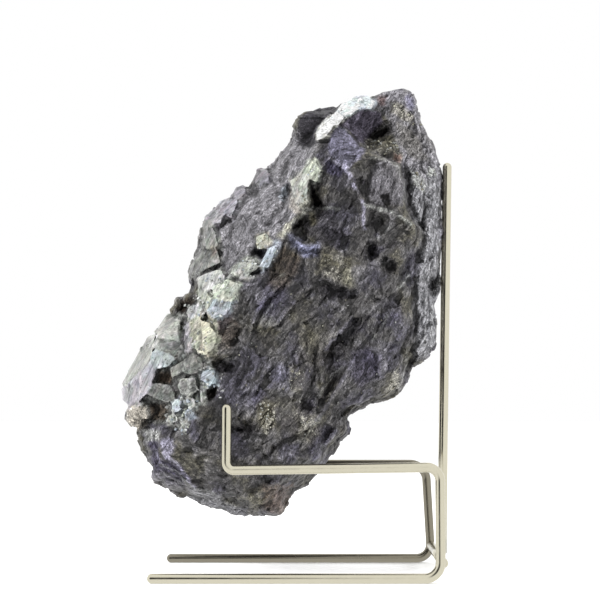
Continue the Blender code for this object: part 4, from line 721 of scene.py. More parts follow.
# Crystals grown on the ore
CRYSTALS = (
    Crystal(Tint.FACET, (
        (149, 334.5, 2), (157, 332, 8), (154, 348, 12.5), (148, 371, 13), (140, 378, 11), (129, 384, 5),
        (121.5, 384, -1), (131, 365.5, -1), (150, 365, -9), (136, 386, -9))),
    Crystal(Tint.FACET, (
        (168, 312, 3), (179, 316, 10), (179.5, 341, 15), (160, 338, 14), (156, 332, 8.5), (157, 329, 2),
        (172, 335, -7), (166, 330, -7))),
    Crystal(Tint.STEEL, (
        (156, 337, 12.5), (179, 342, 15), (184, 353, 17), (177, 359, 16.5), (160, 350, 15.5), (152, 347, 13),
        (168, 350, 2)), broken=0.4),
    Crystal(Tint.FACET_BLUE, (
        (160, 350, 15.8), (177, 358.5, 17.5), (168, 367, 16.5), (157, 369, 15), (150, 359, 13.5),
        (152, 351, 14), (164, 362, 2))),
    Crystal(Tint.FACET_LILAC, (
        (151, 360, 13.5), (158, 369, 15), (154, 379, 15.5), (148, 392, 14.5), (140, 402, 12), (130, 407, 7),
        (123, 400, 1), (121.5, 389, -1), (129, 383, 5.5), (140, 377, 11), (145, 385, -8), (136, 400, -8))),
    Crystal(Tint.FACET_DARK, (
        (153, 383, 14.5), (160, 382.5, 16), (171, 385, 17.5), (177, 396, 18.5), (169, 402.5, 16.5),
        (158, 400, 15), (145, 393, 13), (160, 395, 0), (170, 392, 2)), broken=0.4),
    Crystal(Tint.FACET_DARK, (
        (193, 349, 20.5), (203, 356, 22.5), (204, 370, 23.5), (190, 375, 22), (181, 370, 19.5),
        (184, 361, 19), (194, 361, 25.2), (193, 364, 8)), broken=0.3),
    Crystal(Tint.STEEL, (
        (177, 374, 18.6), (186, 369, 20.4), (198, 371, 22.8), (201.5, 384, 23.4), (199, 395, 23.4),
        (189, 399, 22.4), (178, 395, 19.8), (174.5, 385, 18), (190, 383, 22.2), (187, 384, 8)), broken=0.35),
    Crystal(Tint.FACET_DARK, (
        (170, 368, 16.5), (184, 360, 19.5), (181, 373, 19), (172, 379, 17), (178, 370, 6))),
    Crystal(Tint.BLUE_WHITE, (
        (202, 372, 23.8), (210, 368, 25), (215, 371, 25.8), (217, 384, 25.8), (209, 385, 25),
        (201, 380, 23.8), (208, 377, 12)), broken=0.6),
    Crystal(Tint.SILVER, (
        (200, 390, 23.8), (203.5, 389, 25), (204.5, 404, 25.4), (201, 402, 24.2), (198, 398, 14))),
    Crystal(Tint.BLUE_WHITE, (
        (172, 403, 17.5), (178, 398, 19.5), (183, 401, 20.2), (180, 412, 20), (172, 413, 17.5),
        (177, 406, 8)), broken=0.5),
    Crystal(Tint.SILVER, (
        (186, 397, 21.8), (196, 398, 24), (197, 407, 24), (188, 409, 22.5), (191, 402, 12)), broken=0.5),
    Crystal(Tint.SILVER, (
        (168, 416, 15.5), (172, 413, 17.5), (178, 415, 19.5), (178.5, 421, 19), (171, 424.5, 17),
        (167, 421, 15), (173, 418, 6)), broken=0.5),
    Crystal(Tint.SILVER, (
        (180, 422, 19), (186, 421, 21), (188.5, 431, 21), (183, 434, 19.5), (184, 427, 8)), broken=0.5),
    Crystal(Tint.BLUE_WHITE, (
        (183, 410, 20.5), (192, 408, 23), (193.5, 418, 23), (185, 417, 21), (188, 413, 10)), broken=0.5),
    Crystal(Tint.SILVER, (
        (196.5, 277, 13), (210, 272, 18), (222, 268, 21), (227, 277, 23.5), (218, 285, 24), (206, 292, 21),
        (199, 290, 15), (212, 280, 4)), broken=0.35),
    Crystal(Tint.GREEN_WHITE, (
        (198, 291, 15.5), (206, 291, 21), (214, 299, 25.5), (206, 311, 24), (197, 306, 19), (205, 300, 6)),
        broken=0.35),
    Crystal(Tint.GREEN_WHITE, (
        (213, 286, 23), (228, 279, 25.5), (241, 284, 27.6), (235, 300, 28), (222, 301, 27.4),
        (213, 297, 25.8), (226, 290, 10)), broken=0.35),
    Crystal(Tint.BLUE_WHITE, (
        (213, 300, 25.8), (234, 301, 28), (227, 315, 27.8), (215, 318, 27), (207, 311, 24.6),
        (220, 308, 12)), broken=0.35),
    Crystal(Tint.SILVER, (
        (188, 308, 16), (199, 302, 20), (207, 311, 24.2), (201, 319, 23.5), (190, 320, 19), (187, 313, 16),
        (197, 312, 5)), broken=0.7),
    Crystal(Tint.PALE_CREAM, (
        (190, 320, 19), (200, 317, 23.5), (203, 333, 24.6), (201, 353, 24), (195, 348, 23), (189.5, 335, 20),
        (197, 335, 8))),
    Crystal(Tint.CREAM, (
        (200, 315, 24), (209, 317, 26.6), (210.5, 334, 27.2), (207, 358, 26), (203, 352, 25),
        (202, 334, 25.6), (205, 336, 10))),
    Crystal(Tint.PALE_CREAM, (
        (209.5, 318, 26), (215, 325, 27.3), (217, 338, 27.5), (214, 352, 26.6), (211, 355, 26),
        (210.5, 336, 26.2), (213, 337, 12)), broken=0.25),
    Crystal(Tint.FACET_LILAC, (
        (186, 322, 17), (191, 322, 19.5), (191, 351, 22.5), (186, 350, 19), (183, 339, 16.5), (189, 336, 4)),
        broken=0.5),
    Crystal(Tint.FACET_DARK, (
        (203, 221.5, 4.5), (209, 219, 8.5), (216, 232, 13), (219.5, 246, 16), (206, 249, 12),
        (201.5, 242, 5), (210, 235, -6)), broken=0.3),
    Crystal(Tint.FACET_DARK, (
        (188, 277, 3.5), (190, 266, 4), (197, 253.5, 4), (206, 250, 10), (219, 249, 15.5), (222, 262, 17.5),
        (206, 269, 13.5), (195, 275, 9), (203, 262, -5)), broken=0.4),
    Crystal(Tint.GREY_LILAC, (
        (204, 217, 4.5), (217, 206, 4.5), (225, 213, 10.5), (222, 223, 13), (212, 224, 11), (216, 215, -4)),
        broken=0.6),
    Crystal(Tint.GREY_LILAC, (
        (219, 202, 3), (231, 197, 4.5), (240, 200, 11), (232, 218, 13.5), (223, 213, 10), (229, 208, -4)),
        broken=0.7),
    Crystal(Tint.GREY_LILAC, (
        (236, 187, 3), (245, 185.5, 4.5), (248, 191, 9.5), (240, 198, 10), (232, 195, 4), (240, 192, -6)),
        broken=0.8),
    Crystal(Tint.ASH, (
        (258, 168, 1.5), (266, 168, 3), (270.5, 171, 6.5), (269.5, 182, 10.5), (255, 184, 6), (254, 177, 2),
        (263, 177, -7)), broken=0.7),
    Crystal(Tint.PALE_CREAM, (
        (256, 236, 21), (268, 232, 24), (269, 247, 25), (257, 249, 22.5), (262, 241, 10))),
    Crystal(Tint.BLUE_WHITE, (
        (268, 248, 25.5), (280, 243, 26.3), (269, 268, 27.4), (259, 267, 26.4), (268, 256, 14))),
    Crystal(Tint.STEEL, (
        (239, 262, 21), (256, 258, 23.5), (259, 267, 25.5), (246, 278, 26.4), (237, 272, 24),
        (247, 268, 12)), broken=0.7),
    Crystal(Tint.GREEN_WHITE, (
        (304, 171, 21.5), (314, 159, 22.6), (320.5, 168, 24), (318, 183, 24.4), (309, 179, 23.4),
        (313, 171, 12)), broken=0.8),
    Crystal(Tint.FACET, (
        (289, 179, 17), (304, 173, 22), (309, 179, 23.6), (308.5, 197, 24.4), (296, 201, 22.8),
        (300, 187, 12)), broken=0.8),
    Crystal(Tint.SNOW, (
        (315.5, 133, 20), (322, 126, 20.5), (331, 121, 21), (333, 128, 22), (325, 138, 22.4),
        (318, 140, 21.8), (325, 131, 10)), broken=0.6),
    Crystal(Tint.SNOW, (
        (323, 123, 19), (337, 111, 18.5), (345, 117, 20.5), (338, 125, 21.6), (328, 127, 21.4),
        (334, 119, 6)), broken=0.6),
    Crystal(Tint.PALE_ICE, (
        (336, 111, 17), (344, 100, 8), (356, 95, 5), (361, 107, 13), (351, 116, 18.5), (343, 118, 20),
        (348, 106, -2)), broken=0.6),
    Crystal(Tint.BLUE_WHITE, (
        (356, 94.5, 5), (368, 95, 4.5), (376, 102, 7.5), (372, 109.5, 10.5), (359, 109.5, 14),
        (366, 102, -4)), broken=0.6),
)

# Direction of the ore's fibres: picture position, reach in pixels, degrees up from level
LIES = (
    ((300, 330), 70, 58), ((360, 320), 50, 52), ((385, 250), 40, 48), ((425, 250), 30, 88),
    ((425, 330), 30, 88), ((345, 148), 24, -38), ((388, 185), 22, 72), ((400, 120), 25, 60),
    ((240, 240), 45, 50), ((210, 260), 25, 70), ((215, 345), 30, 30), ((240, 360), 30, 40),
    ((240, 440), 50, 60), ((180, 470), 30, -35), ((270, 500), 22, 82), ((300, 440), 40, 50),
    ((290, 190), 25, 75), ((325, 225), 25, 35), ((330, 380), 40, 52), ((390, 370), 25, 65),
)


def new_object(name: str, data: bpy.types.ID) -> bpy.types.Object:
    """Put a mesh, a light or a camera in the scene.

    Args:
        name: Name of the object.
        data: Its mesh, light or camera.

    Returns:
        The new object.
    """
    made = bpy.data.objects.new(name, data)
    bpy.context.scene.collection.objects.link(made)
    return made


def to_mesh(name: str, shape: bmesh.types.BMesh) -> bpy.types.Mesh:
    """Turn a shape into a mesh and let the shape go.

    Args:
        name: Name of the mesh.
        shape: What it is made from.

    Returns:
        The new mesh.
    """
    mesh = bpy.data.meshes.new(name)
    shape.to_mesh(mesh)
    shape.free()
    return mesh


def read(items: Any, name: str, width: int = 3) -> Array:
    """Read one property of a mesh's points, edges or faces.

    Args:
        items: The points, edges or faces.
        name: Name of the property.
        width: How many numbers each of them has.

    Returns:
        One row per item.
    """
    whole = name == "vertices"
    values = np.empty(len(items) * width, np.int32 if whole else np.float32)
    items.foreach_get(name, values)
    rows = values.reshape(-1, width)
    return rows if whole else rows.astype(float)


def move_points(mesh: bpy.types.Mesh, places: Array) -> None:
    """Give a mesh's points new places, one per row."""
    mesh.vertices.foreach_set("co", places.astype(np.float32).ravel())
    mesh.update()


def store(mesh: bpy.types.Mesh, name: str, kind: str, domain: str, values: Array) -> None:
    """Give a mesh a named attribute that its finish reads.

    Args:
        mesh: The mesh.
        name: Name of the attribute.
        kind: FLOAT, FLOAT_VECTOR or FLOAT_COLOR.
        domain: POINT or FACE.
        values: One row per point or face.
    """
    made = mesh.attributes.new(name, kind, domain)
    slot = {"FLOAT": "value", "FLOAT_VECTOR": "vector", "FLOAT_COLOR": "color"}[kind]
    made.data.foreach_set(slot, np.ascontiguousarray(values, np.float32).ravel())


def relax(values: Array, edges: Array, rounds: int, share: float = 0.5) -> Array:
    """Average each point's values with those of its neighbours.

    Args:
        values: One row per point.
        edges: Pairs of neighbouring points.
        rounds: How many times.
        share: How far each round goes towards the average.

    Returns:
        The averaged rows.
    """
    count = len(values)
    starts, stops = edges[:, 0], edges[:, 1]
    near = np.maximum(np.bincount(edges.ravel(), minlength=count), 1)[:, None]
    for _ in range(rounds):
        sums = np.column_stack([
            np.bincount(starts, column[stops], count) + np.bincount(stops, column[starts], count)
            for column in values.T])
        values = values + share * (sums / near - values)
    return values


@dataclass(frozen=True)
class BlockGrain:
    """The ore broke along blocks some 15 mm across, and each block's fibres lie their own way."""

    block: float = 15 * MM
    # How far a block's fibres turn and dip away from the usual, in degrees to either side
    turn: float = 16.0
    dip: float = 20.0
    # Degrees up from level where no entry of LIES reaches, and how little it counts elsewhere
    usual: float = 55.0
    usual_weight: float = 0.02
    # The borders between the blocks stray by so many millimetres, in waves this long
    stray_mm: float = 2.2
    wave_mm: float = 9.0
    # Each block starts its pattern elsewhere, up to so many millimetres away
    shift_mm: float = 37.0
    noise: LatticeNoise = LatticeNoise(5)

    def angles(self, spots: Array) -> Array:
        """Find the direction of the fibres.

        Args:
            spots: Picture positions, one per row.

        Returns:
            Degrees up from level.
        """
        total = np.full(len(spots), self.usual * self.usual_weight)
        weight = np.full(len(spots), self.usual_weight)
        for spot, reach, angle in LIES:
            share = np.exp(-((spots - np.array(spot)) ** 2).sum(1) / reach ** 2)
            total, weight = total + share * angle, weight + share
        return total / weight

    def frame(self, points: Array) -> Array:
        """Measure places along and across the fibres.

        Args:
            points: Places in metres, one per row.

        Returns:
            Millimetres along the fibres, across them, and out of the block, one row per point.
        """
        stray = self.stray_mm * self.noise.vectors(points / (self.wave_mm * MM), (3.1, 7.7, 11.3))
        gaps, keys = self.noise.nearest((points + stray * MM) / self.block)
        middles = points + stray * MM - gaps * self.block
        chance = 2 * (self.noise.jitter[keys] - 0.5)
        turn = np.radians(self.angles(VIEW.seen(middles)) + self.turn * chance[:, 0])
        dip = np.radians(self.dip * chance[:, 2])
        along = np.column_stack([np.cos(turn) * np.cos(dip), np.sin(dip), np.sin(turn) * np.cos(dip)])
        across = np.column_stack([-np.sin(turn), np.zeros(len(turn)), np.cos(turn)])
        out = np.cross(along, across)
        axes = [np.einsum("ij,ij->i", points, axis) / MM for axis in (along, across, out)]
        return np.column_stack(axes) + self.noise.jitter[keys] * self.shift_mm


@dataclass(frozen=True)
class CrystalFaces:
    """The flat faces of the crystals, onto which the ore's points are drawn."""

    crystals: tuple[Crystal, ...] = CRYSTALS
    # A crystal draws points only within this distance of its middle
    reach: float = 22 * MM
    # The crystals' edges are worn by so much, in waves this long
    wear: float = 0.9 * MM
    wave: float = 2.5 * MM
    seed: int = 61
    noise: LatticeNoise = LatticeNoise(41)

    def planes(self, crystal: Crystal) -> list[tuple[Array, Array]]:
        """Find the faces of the convex solid around a crystal's corners.

        Args:
            crystal: The crystal.

        Returns:
            Outward normal and one corner of each face.
        """
        shape = bmesh.new()
        for corner in crystal.corners:
            shape.verts.new(VIEW.place(corner))
        bmesh.ops.convex_hull(shape, input=shape.verts)
        bmesh.ops.recalc_face_normals(shape, faces=shape.faces)
        shape.normal_update()
        planes = [(np.array(face.normal), np.array(face.verts[0].co)) for face in shape.faces]
        shape.free()
        return planes

    def meet(self, places: Array) -> tuple[Array, ...]:
        """Find the closest crystal face of each place.

        Args:
            places: Points in metres.

        Returns:
            Distance in metres to the face's plane; distance to the crystal with its outline worn uneven; the
            face's normal; the crystal's number; a number from 0 to 1 that is the same all over one face.
        """
        worn = places + self.wear * self.noise.vectors(places / self.wave, (1.0, 9.0, 17.0))
        best, plane_gap = np.full(len(places), FAR), np.full(len(places), FAR)
        normals = np.zeros((len(places), 3))
        owner = np.zeros(len(places), np.int64)
        chance = np.zeros(len(places))
        dice = np.random.default_rng(self.seed)
        for number, crystal in enumerate(self.crystals):
            planes = self.planes(crystal)
            middle = np.mean([spot for _, spot in planes], axis=0)
            near = np.flatnonzero(((places - middle) ** 2).sum(1) < self.reach ** 2)
            gaps = np.column_stack([(places[near] - spot) @ normal for normal, spot in planes])
            edge = np.column_stack([(worn[near] - spot) @ normal for normal, spot in planes]).max(1)
            face = gaps.argmax(1)
            rolls = dice.random(len(planes))
            closer = edge < best[near]
            hit = near[closer]
            best[hit], owner[hit], chance[hit] = edge[closer], number, rolls[face[closer]]
            plane_gap[hit] = gaps[np.arange(len(near)), face][closer]
            normals[hit] = np.array([normal for normal, _ in planes])[face[closer]]
        return plane_gap, best, normals, owner, chance


@dataclass
class OreBody:
    """The massive ore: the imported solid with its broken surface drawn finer, and coloured.

    A number added to a place in cells only starts that pattern elsewhere in the noise.
    """

    # Size of the small cubes that the solid is rebuilt from, and how many faces stay in the end
    cell: float = 0.5 * MM
    faces: int = 186000
    # How strongly the near side keeps its small faces when the mesh is thinned
    keep_near: float = 5e-4
    # The near side's features end at this Y, and shapes and colours are full at these shares of it
    near_end: float = 6 * MM
    full_shape: float = -0.2
    full_colour: float = 0.4
    # How far past that Y the colours fade out
    colour_past: float = 2 * MM
    # How far behind an area that wraps over to the back it fades out
    behind_fade_mm: float = 4.0
    # Pixels by which the edges of the areas stray, and the length of the waves in millimetres
    shape_stray: Spot = (1.4, 2.2)
    colour_stray: Spot = (2.2, 4.0)
    colour_fray: Spot = (1.6, 1.5)
    # Share of the colours' stray that the edges of the strokes have
    stroke_stray: float = 0.5
    # Size of each kind of roughness along, across and out of the fibres
    long_flake_mm: Corner = (8.0, 3.4, 6.0)
    small_flake_mm: Corner = (3.6, 1.7, 3.6)
    hackle_mm: Corner = (7.0, 1.6, 1.8)
    grit_mm: float = 0.8
    # Heights of the long flakes, the small ones, the hackle and the grit
    heights_mm: tuple[float, ...] = (0.6, 0.32, 0.16, 0.07)
    # Share of an area's lift that is added, because the solid has the rest
    lift_share: float = 0.7
    # A crystal face holds the points within the second distance of it, and lets go by the first
    hold_mm: Spot = (1.1, 0.6)
    # Broad, middling and fine clouds of colour
    clouds_mm: Corner = (11.0, 7.0, 2.4)
    # Patches of tarnish film on the pale faces
    film_mm: Corner = (2.6, 1.5, 1.6)
    plain_lustre: float = 0.1
    plain_speck: float = 0.2
    # Share of an area's lustre that shows
    lustre_share: float = 0.8
    # Noise between which a stroke's tint breaks off, and the middling clouds' share in it
    ragged: Spot = (-0.55, 0.1)
    ragged_share: float = 0.5
    # Noise between which the bright grains, partly painted glints, set in
    speck_clouds: Spot = (-0.3, 0.35)
    # Millimetres by which the fine clouds fray the borders of the crystal faces
    border_fray: float = 0.3
    # Least brightness of a crystal face and what chance adds, how well it covers the ore, and its lustre
    facet_light: Spot = (0.7, 0.55)
    facet_cover: float = 0.75
    facet_lustre: float = 0.9
    # How much the film changes hue and brightness, and the lustre between which it sets in
    film_hue: float = 0.045
    film_light: float = 0.12
    film_lustre: Spot = (0.25, 0.5)
    # Painted highlight on crests, partly also rubbed wear, and painted shade in dips and hollows like ambient
    # occlusion: change of brightness, and the height that gives it
    crest_painted_highlight: float = 0.35
    crest_highlight_mm: float = 0.12
    hollow_painted_shade: float = 0.25
    hollow_shade_mm: float = 0.6
    # The deepest hollow whose painted shade still grows darker, and the range of the brightness and of a
    # colour's parts
    deepest: float = -1.6
    shades: Spot = (0.3, 1.8)
    colour_range: Spot = (0.002, 0.9)
    # Faces with more lustre than this have the crystals' finish
    pale_from: float = 0.42
    noise: LatticeNoise = LatticeNoise(17)
    fine: LatticeNoise = LatticeNoise(23)
    grain: BlockGrain = BlockGrain()
    faceted: CrystalFaces = CrystalFaces()

    def remeshed(self) -> bpy.types.Object:
        """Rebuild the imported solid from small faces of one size.

        Returns:
            The new piece.
        """
        shape = bmesh.new()
        shape.from_mesh(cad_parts["specimen"].data)
        bmesh.ops.remove_doubles(shape, verts=shape.verts, dist=0.01 * MM)
        made = new_object("ore", to_mesh("ore", shape))
        self.modify(made, "REMESH", mode="VOXEL", voxel_size=self.cell)
        return made

    def modify(self, made: bpy.types.Object, kind: str, **settings: Any) -> None:
        """Apply one modifier to an object.

        Args:
            made: The object, whose mesh is replaced.
            kind: Kind of modifier.
            settings: Its settings by name.
        """
        added = made.modifiers.new(kind, kind)
        for name, value in settings.items():
            setattr(added, name, value)
        bpy.context.view_layer.update()
        result = bpy.data.meshes.new_from_object(made.evaluated_get(bpy.context.evaluated_depsgraph_get()))
        made.modifiers.clear()
        made.data = result

    def stray(self, noise: LatticeNoise, waves: Spot, places: Array) -> Array:
        """Pixels by which edges stray at each place, from the waves' height and their length in mm."""
        return waves[0] * noise.smooth(places / (waves[1] * MM))

    def held(self, edge: Array, uneven: Array | float = 0.0) -> Array:
        """Find how firmly a crystal face holds each point.

        Args:
            edge: Distance to the crystal in metres.
            uneven: Millimetres added to that distance.

        Returns:
            Shares from 0 to 1.
        """
        return smoothstep(*self.hold_mm, np.abs(edge) / MM + uneven)

    def broken(self, places: Array, normals: Array, free: Array) -> Array:
        """Move points to where the broken surface lies.

        Args:
            places: Points in metres.
            normals: Their normals.
            free: How much each point may move, from 0 beside a crystal to 1.

        Returns:
            The moved points.
        """
        spots = VIEW.seen(places)
        near = smoothstep(self.near_end, self.near_end * self.full_shape, places[:, 1])
        wander = self.stray(self.fine, self.shape_stray, places)
        for patch in PATCHES:
            if patch.calm:
                free = free * (1 - patch.calm * patch.weight(spots, wander) * near)
        lie = self.grain.frame(places)
        parts = (
            self.noise.flakes(lie / np.array(self.long_flake_mm)),
            self.noise.flakes(lie / np.array(self.small_flake_mm) + 40.0),
            self.noise.smooth(lie / np.array(self.hackle_mm) + 9.0),
            self.fine.smooth(places / (self.grit_mm * MM)),
        )
        height = sum(high * part for high, part in zip(self.heights_mm, parts))
        moved = places + normals * (height * free * MM)[:, None]
        push, aside = np.zeros(len(places)), np.zeros(len(places))
        rightward = np.clip(normals[:, 0] * 2, 0, 1)
        for patch in PATCHES:
            if patch.lift_mm:
                push += patch.lift_mm * self.lift_share * patch.weight(spots, wander)
            if patch.side_mm:
                aside += patch.side_mm * patch.weight(spots, wander) * rightward
        for stroke in STROKES:
            push += HEIGHT_SHARE[stroke.relief] * stroke.weight(spots + wander[:, None])[0]
        moved[:, 1] -= push * near * MM
        moved[:, 0] += aside * MM
        return moved

    def painted(self, places: Array, relief: Array, cavity: Array) -> tuple[Array, ...]:
        """Work out what the finishes read at each point.

        Args:
            places: Points in metres.
            relief: Height above the close surroundings, in millimetres.
            cavity: Height above the wider surroundings, in millimetres.

        Returns:
            Linear colours with alpha, then lustre, share of bright grains (partly painted glints) and
            calmness from 0 to 1.
        """
        broad, middling, fine = (
            noise.smooth(places / (size * MM) + start)
            for noise, size, start in zip(
                (self.noise, self.noise, self.fine), self.clouds_mm, (2.0, 25.0, 5.0)))
        colours = np.tile(linear(Tint.ORE.value), (len(places), 1))

        def blend(tint: Tint, weight: Array) -> None:
            """Mix a tint into the colours by a weight from 0 to 1."""
            colours[:] = colours + (np.array(linear(tint.value)) - colours) * weight[:, None]

        # Tint of each cloud, its strength, where it fades in, and how much fine noise frays its edge
        for tint, strength, low, high, cloud, fray in (
                (Tint.VIOLET, 0.6, 0.1, 0.45, broad, 0.3),
                (Tint.OLIVE, 0.55, 0.1, 0.45, -broad, 0.3),
                (Tint.GREY_LILAC, 0.45, 0.2, 0.5, middling, 0.35),
                (Tint.DARK_ORE, 0.6, 0.15, 0.5, -middling, 0.3)):
            blend(tint, strength * smoothstep(low, high, cloud + fray * fine))
        spots = VIEW.seen(places)
        near = smoothstep(self.near_end + self.colour_past, self.near_end * self.full_colour, places[:, 1])
        wander = self.stray(self.noise, self.colour_stray, places)
        wander = wander + self.stray(self.fine, self.colour_fray, places)
        lustre = np.full(len(places), self.plain_lustre)
        speck = np.full(len(places), self.plain_speck)
        calm = np.zeros(len(places))
        for patch in PATCHES:
            reach = near
            if patch.behind_mm:
                reach = smoothstep(patch.behind_mm + self.behind_fade_mm, patch.behind_mm, places[:, 1] / MM)
            weight = patch.weight(spots, wander * min(1.0, patch.soft / SOFT_EDGE)) * reach
            blend(patch.tint, weight * patch.strength)
            lustre += (patch.lustre - lustre) * weight * patch.strength * self.lustre_share
            speck += (patch.speck - speck) * weight
            calm += (patch.calm - calm) * weight
        ragged = smoothstep(*self.ragged, fine + self.ragged_share * middling)
        for stroke in STROKES:
            share = stroke.weight(spots + wander[:, None] * self.stroke_stray)[1] * ragged
            blend(stroke.tint, TINT_SHARE[stroke.relief] * stroke.show * share * near)
        lustre = self.facet_colours(places, colours, lustre, self.border_fray * fine)
        # Painted light: crests lighter as painted highlight (partly rubbed wear), close dips darker, and the
        # wider hollows darker as painted shade
        shade = 1 + self.crest_painted_highlight * np.clip(relief / self.crest_highlight_mm, -1.0, 1.0)
        shade = shade + self.hollow_painted_shade * np.clip(cavity / self.hollow_shade_mm, self.deepest, 1.0)
        colours *= np.clip(shade, *self.shades)[:, None]
        colours = np.column_stack([np.clip(colours, *self.colour_range), np.ones(len(places))])
        return colours, lustre, speck * smoothstep(*self.speck_clouds, middling + fine), calm

    def facet_colours(
            self, places: Array, colours: Array, lustre: Array,
            uneven: Array) -> Array:
        """Give the crystals' faces their own colours, each face a little lighter or darker.

        Args:
            places: Points in metres.
            colours: Linear colours, which are changed in place.
            lustre: Lustre from 0 to 1.
            uneven: Millimetres by which the faces' borders stray.

        Returns:
            The new lustre.
        """
        _, edge, _, owner, chance = self.faceted.meet(places)
        on_face = self.held(edge, uneven)
        palette = np.array([linear(crystal.tint.value) for crystal in self.faceted.crystals])
        least, more = self.facet_light
        faced = palette[owner] * (least + more * chance)[:, None]
        colours += (faced - colours) * (self.facet_cover * on_face)[:, None]
        lustre = np.maximum(lustre, self.facet_lustre * on_face)
        _, keys = self.noise.nearest(self.grain.frame(places) / np.array(self.film_mm) + 3.0)
        film = 2 * self.noise.jitter[keys] - 1
        change = self.film_hue * film + self.film_light * film[:, [0]]
        colours *= 1 + change * smoothstep(*self.film_lustre, lustre)[:, None]
        return lustre

    def build(self, finishes: Sequence[bpy.types.Material]) -> bpy.types.Object:
        """Make the ore with its crystals.

        Args:
            finishes: What the massive ore and the crystal faces are made of.

        Returns:
            The finished piece.
        """
        made = self.remeshed()
        mesh = made.data
        places, edges = read(mesh.vertices, "co"), read(mesh.edges, "vertices", 2)
        gap, edge, flat, owner, _ = self.faceted.meet(places)
        held = self.held(edge)[:, None]
        # Four rounds take away the steps of the small cubes, and a light one blends the faces in
        smooth = relax(places, edges, 4)
        onto = places - flat * gap[:, None]
        places = relax(smooth + (onto - smooth) * held, edges, 1, 0.3)
        move_points(mesh, places)
        loose = np.array([crystal.broken for crystal in self.faceted.crystals])[owner]
        places = self.broken(places, read(mesh.vertices, "normal"), 1 - held[:, 0] * (1 - loose))
        move_points(mesh, places)
        far = made.vertex_groups.new(name="back")
        share = smoothstep(self.near_end * 0.5, self.near_end * 2, places[:, 1])
        # Three weights are enough to thin the back more than the front
        for step in (0.05, 0.5, 1.0):
            far.add(np.flatnonzero(share >= step - 0.05).tolist(), step, "REPLACE")
        LOG.info("ore before thinning: %d faces", len(mesh.polygons))
        self.modify(
            made, "DECIMATE", ratio=self.faces / (2 * len(mesh.polygons)), vertex_group="back",
            vertex_group_factor=self.keep_near, use_collapse_triangulate=True)
        for finish in finishes:
            made.data.materials.append(finish)
        self.dress(made)
        return made

    def dress(self, made: bpy.types.Object) -> None:
        """Store what the finishes read, and share the faces out between them.

        Args:
            made: The shaped piece.
        """
        mesh = made.data
        places, normals = read(mesh.vertices, "co"), read(mesh.vertices, "normal")
        edges = read(mesh.edges, "vertices", 2)
        # Six rounds level the close surroundings, and forty more the wider ones
        smooth = relax(places, edges, 6)
        wide = relax(smooth, edges, 40, 0.8)
        relief, cavity = (
            np.einsum("ij,ij->i", places - base, normals) / MM for base in (smooth, wide))
        colours, lustre, speck, calm = self.painted(places, relief, cavity)
        store(mesh, "tint", "FLOAT_COLOR", "POINT", colours)
        for name, values in (("lustre", lustre), ("speck", speck), ("calm", calm)):
            store(mesh, name, "FLOAT", "POINT", values)
        store(mesh, "lie", "FLOAT_VECTOR", "POINT", self.grain.frame(places))
        pale = lustre[read(mesh.polygons, "vertices")].mean(1) > self.pale_from
        mesh.polygons.foreach_set("material_index", pale.astype(np.int32))
        mesh.shade_flat()
        LOG.info("ore: %d triangles, %d of them pale", len(mesh.polygons), pale.sum())


@dataclass(frozen=True)
class Druse:
    """An area of the near side with small crystals scattered over it."""

    outline: tuple[Spot, ...]
    count: int
    size_mm: tuple[float, float]
    tints: tuple[Tint, ...]


